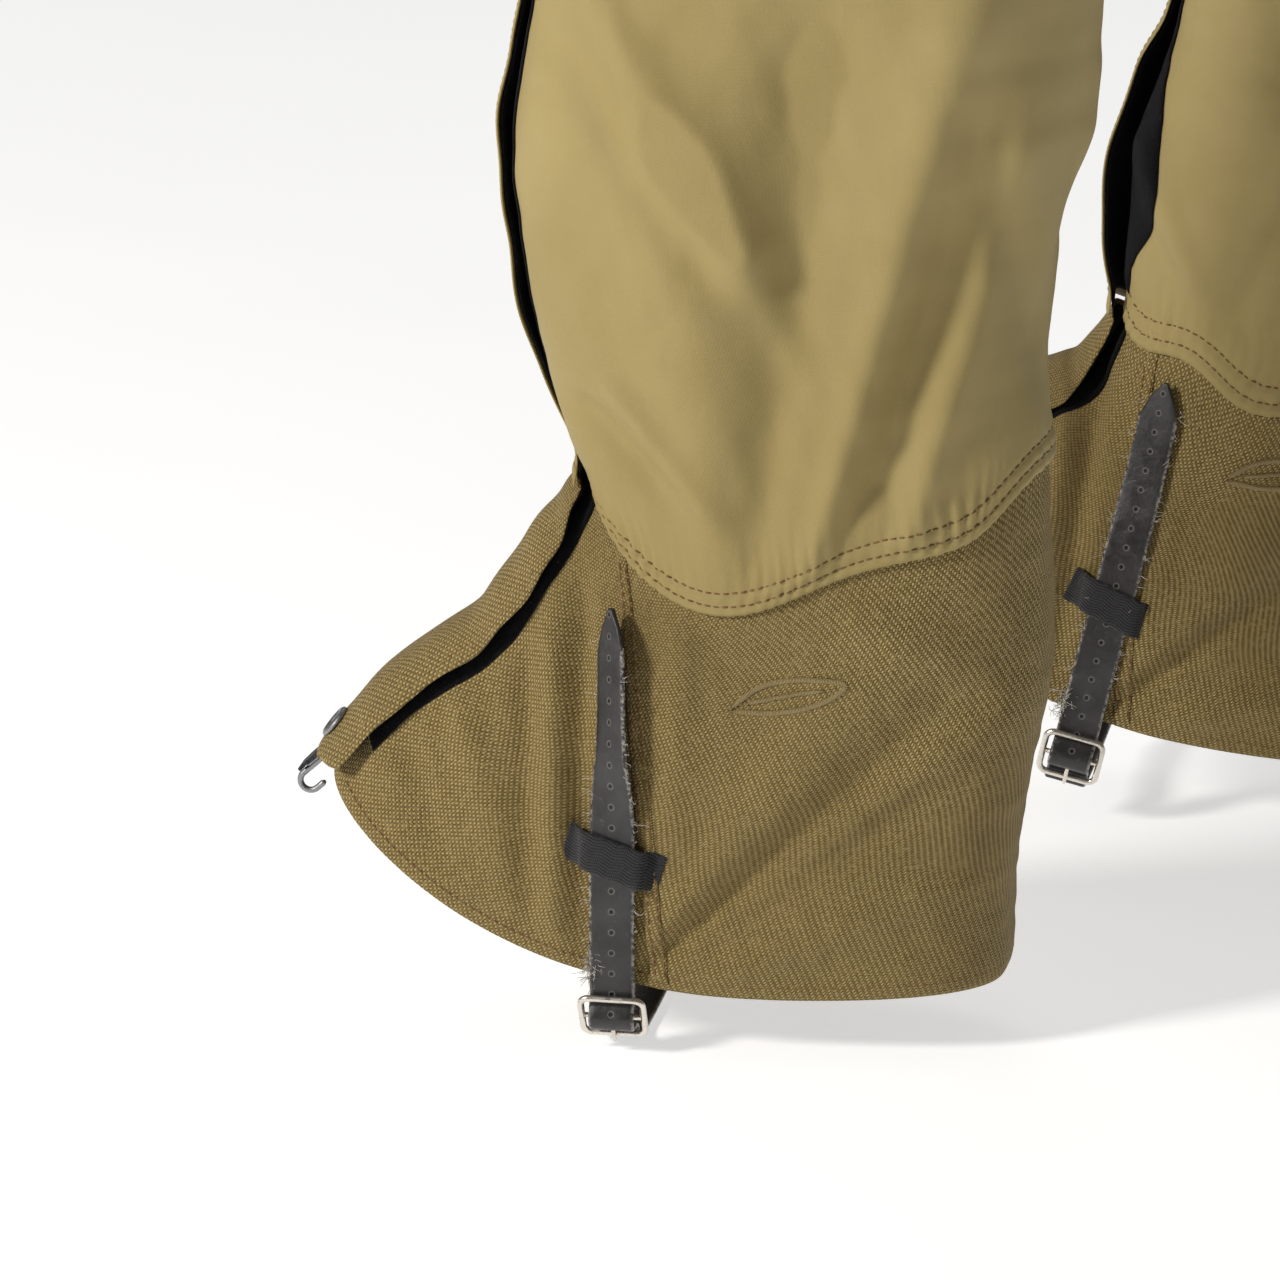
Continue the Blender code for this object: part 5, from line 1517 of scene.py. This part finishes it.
def motif_strokes():
    """A leaf and its vein, in millimetres about the motif's middle."""
    leaf = [(-20.0, -5.5), (-9.0, 3.0), (5.0, 6.5), (20.0, 6.0), (11.0, -1.5), (-4.0, -5.8),
            (-20.0, -6.5)]
    vein = [(-15.0, -3.6), (0.0, 0.4), (13.0, 3.6)]
    return leaf, vein


def embroidery(dresser):
    """The leaf, in raised satin stitch over the folds."""
    shell = dresser.shell
    middle_y, middle_z = EMBROIDERY_AT
    parts, uvs = [], []
    for stroke, width in zip(motif_strokes(), (1.9, 1.5)):
        flat = [(x, y, 0.0) for x, y in stroke]
        path, places = smooth_path(flat, 0.8)
        centres, ahead, outs = [], [], []
        for x, rise, _ in path:
            height, at = shell.find_side(middle_y + x, middle_z + rise)
            point, normal, _, _ = shell.frame_at(height, at)
            lift = LOWER_SKIN + 0.55 + float(lower_relief(shell, height, at))
            centres.append(point + normal * lift)
            outs.append(normal)
        centres, outs = np.array(centres), np.array(outs)
        ahead = np.gradient(centres, axis=0)
        ahead /= np.linalg.norm(ahead, axis=1, keepdims=True)
        sides = np.cross(outs, ahead)
        half = width / 2.0
        taper = np.clip(np.minimum(places, places[-1] - places) / 3.0, 0.25, 1.0)
        arch = [(half, -0.5), (half, 0.0), (half * 0.6, 0.45), (0.0, 0.6), (-half * 0.6, 0.45),
                (-half, 0.0), (-half, -0.5)]
        outlines = np.repeat(np.array(arch)[None], len(centres), axis=0)
        outlines[..., 0] *= taper[:, None]
        parts.append(sweep(centres, sides, outs, outlines))
        uvs.append(np.stack((outlines[..., 0], np.repeat(places[:, None], len(arch), axis=1)),
                            axis=-1).reshape(-1, 2))
    points, faces = join(parts)
    piece = place_mesh(shell, "embroidery", points, faces, dresser.finishes["satin"],
                       np.concatenate(uvs))
    dresser.keep("embroidery", piece)


# ---------------------------------------------------------------- whole scene


def make_finishes():
    """Every material, by use."""
    return {
        "upper": upper_cloth(),
        "lower": lower_cloth(),
        "inner": inner_cloth(),
        "fold": lower_cloth(),
        "hooks": tape_material("gaiter_hook_tape", False),
        "loops": tape_material("gaiter_loop_tape", True),
        "webbing": webbing_material(),
        "strap": strap_material(),
        "nickel": metal_material("gaiter_nickel", (0.74, 0.69, 0.62), 0.20, 0.42),
        "snap": metal_material("gaiter_dark_metal", (0.30, 0.30, 0.31), 0.34, 0.55),
        "plastic": plastic_material(),
        "thread": thread_material("gaiter_brown_thread", (0.135, 0.062, 0.012), (0.235, 0.118, 0.028)),
        "upper_thread": thread_material("gaiter_khaki_thread", (0.22, 0.155, 0.06), (0.36, 0.27, 0.12)),
        "lower_thread": thread_material("gaiter_tan_thread", (0.19, 0.12, 0.04), (0.32, 0.22, 0.09)),
        "black_thread": thread_material("gaiter_black_thread", (0.006, 0.006, 0.007), (0.03, 0.03, 0.032)),
        "satin": satin_material(),
        "elastic": elastic_material(),
        "fibre": fibre_material(),
    }


def dress(side, finishes):
    """All the pieces of one gaiter."""
    shell = Shell(side)
    dresser = Dresser(shell, finishes)
    dresser.panels()
    dresser.seam_stitching()
    dresser.flaps()
    dresser.elastic()
    dresser.top()
    dresser.snaps()
    dresser.lace_hook()
    Strap(dresser).build()
    embroidery(dresser)
    return dresser


def area_light(name, place, target, size, power, colour=(1.0, 1.0, 1.0)):
    """A round soft light that faces the target."""
    data = bpy.data.lights.new(name, "AREA")
    data.shape = "DISK"
    data.size = size
    data.energy = power
    data.color = colour
    light = bpy.data.objects.new(name, data)
    light.location = place
    light.rotation_euler = (target - place).to_track_quat("-Z", "Y").to_euler()
    bpy.context.scene.collection.objects.link(light)


def studio(near):
    """Pale floor, soft light from the toe side, and the camera on the buckle side."""
    scene = bpy.context.scene
    scene.view_settings.view_transform = "Standard"
    target = near.world @ (Vector(CAMERA_TARGET) * MM)
    azimuth, elevation = math.radians(CAMERA_ROUND), math.radians(CAMERA_UP)
    toward = Vector((math.sin(azimuth) * math.cos(elevation),
                     -math.cos(azimuth) * math.cos(elevation), math.sin(elevation)))
    lens = bpy.data.cameras.new("camera")
    lens.lens = CAMERA_LENS
    lens.clip_end = 60.0
    camera = bpy.data.objects.new("camera", lens)
    camera.location = target + toward * CAMERA_AWAY
    camera.rotation_euler = toward.to_track_quat("Z", "Y").to_euler()
    scene.collection.objects.link(camera)
    scene.camera = camera

    floor_mesh = bpy.data.meshes.new("floor")
    reach = 12.0
    floor_mesh.from_pydata([(-reach, -reach, 0.0), (reach, -reach, 0.0), (reach, reach, 0.0),
                            (-reach, reach, 0.0)], [], [(0, 1, 2, 3)])
    n = Nodes("studio_floor")
    tone = n.noise(3.0, 2.0, 0.5)
    shade = n.mix(tone, (0.86, 0.86, 0.86), (0.90, 0.90, 0.90))
    n.link(shade, n.shader.inputs["Emission Color"])
    floor_mesh.materials.append(n.finish(shade, 0.9, Emission_Strength=0.66))
    floor = bpy.data.objects.new("floor", floor_mesh)
    floor.location.z = min(cad_low[2], 0.0) - 0.001
    scene.collection.objects.link(floor)

    world = bpy.data.worlds.new("studio")
    world.use_nodes = True
    world.node_tree.nodes["Background"].inputs["Color"].default_value = (1.0, 1.0, 1.0, 1.0)
    world.node_tree.nodes["Background"].inputs["Strength"].default_value = 0.13
    scene.world = world
    area_light("key", target + Vector((1.3, -1.5, 1.15)), target, 0.45, 39.0, (1.0, 0.97, 0.92))
    area_light("back", target + Vector((-1.8, -0.6, 2.0)), target, 1.6, 6.0)


finishes = make_finishes()
dressed = {side: dress(side, finishes) for side in SIDES}
studio(dressed["left"].shell)
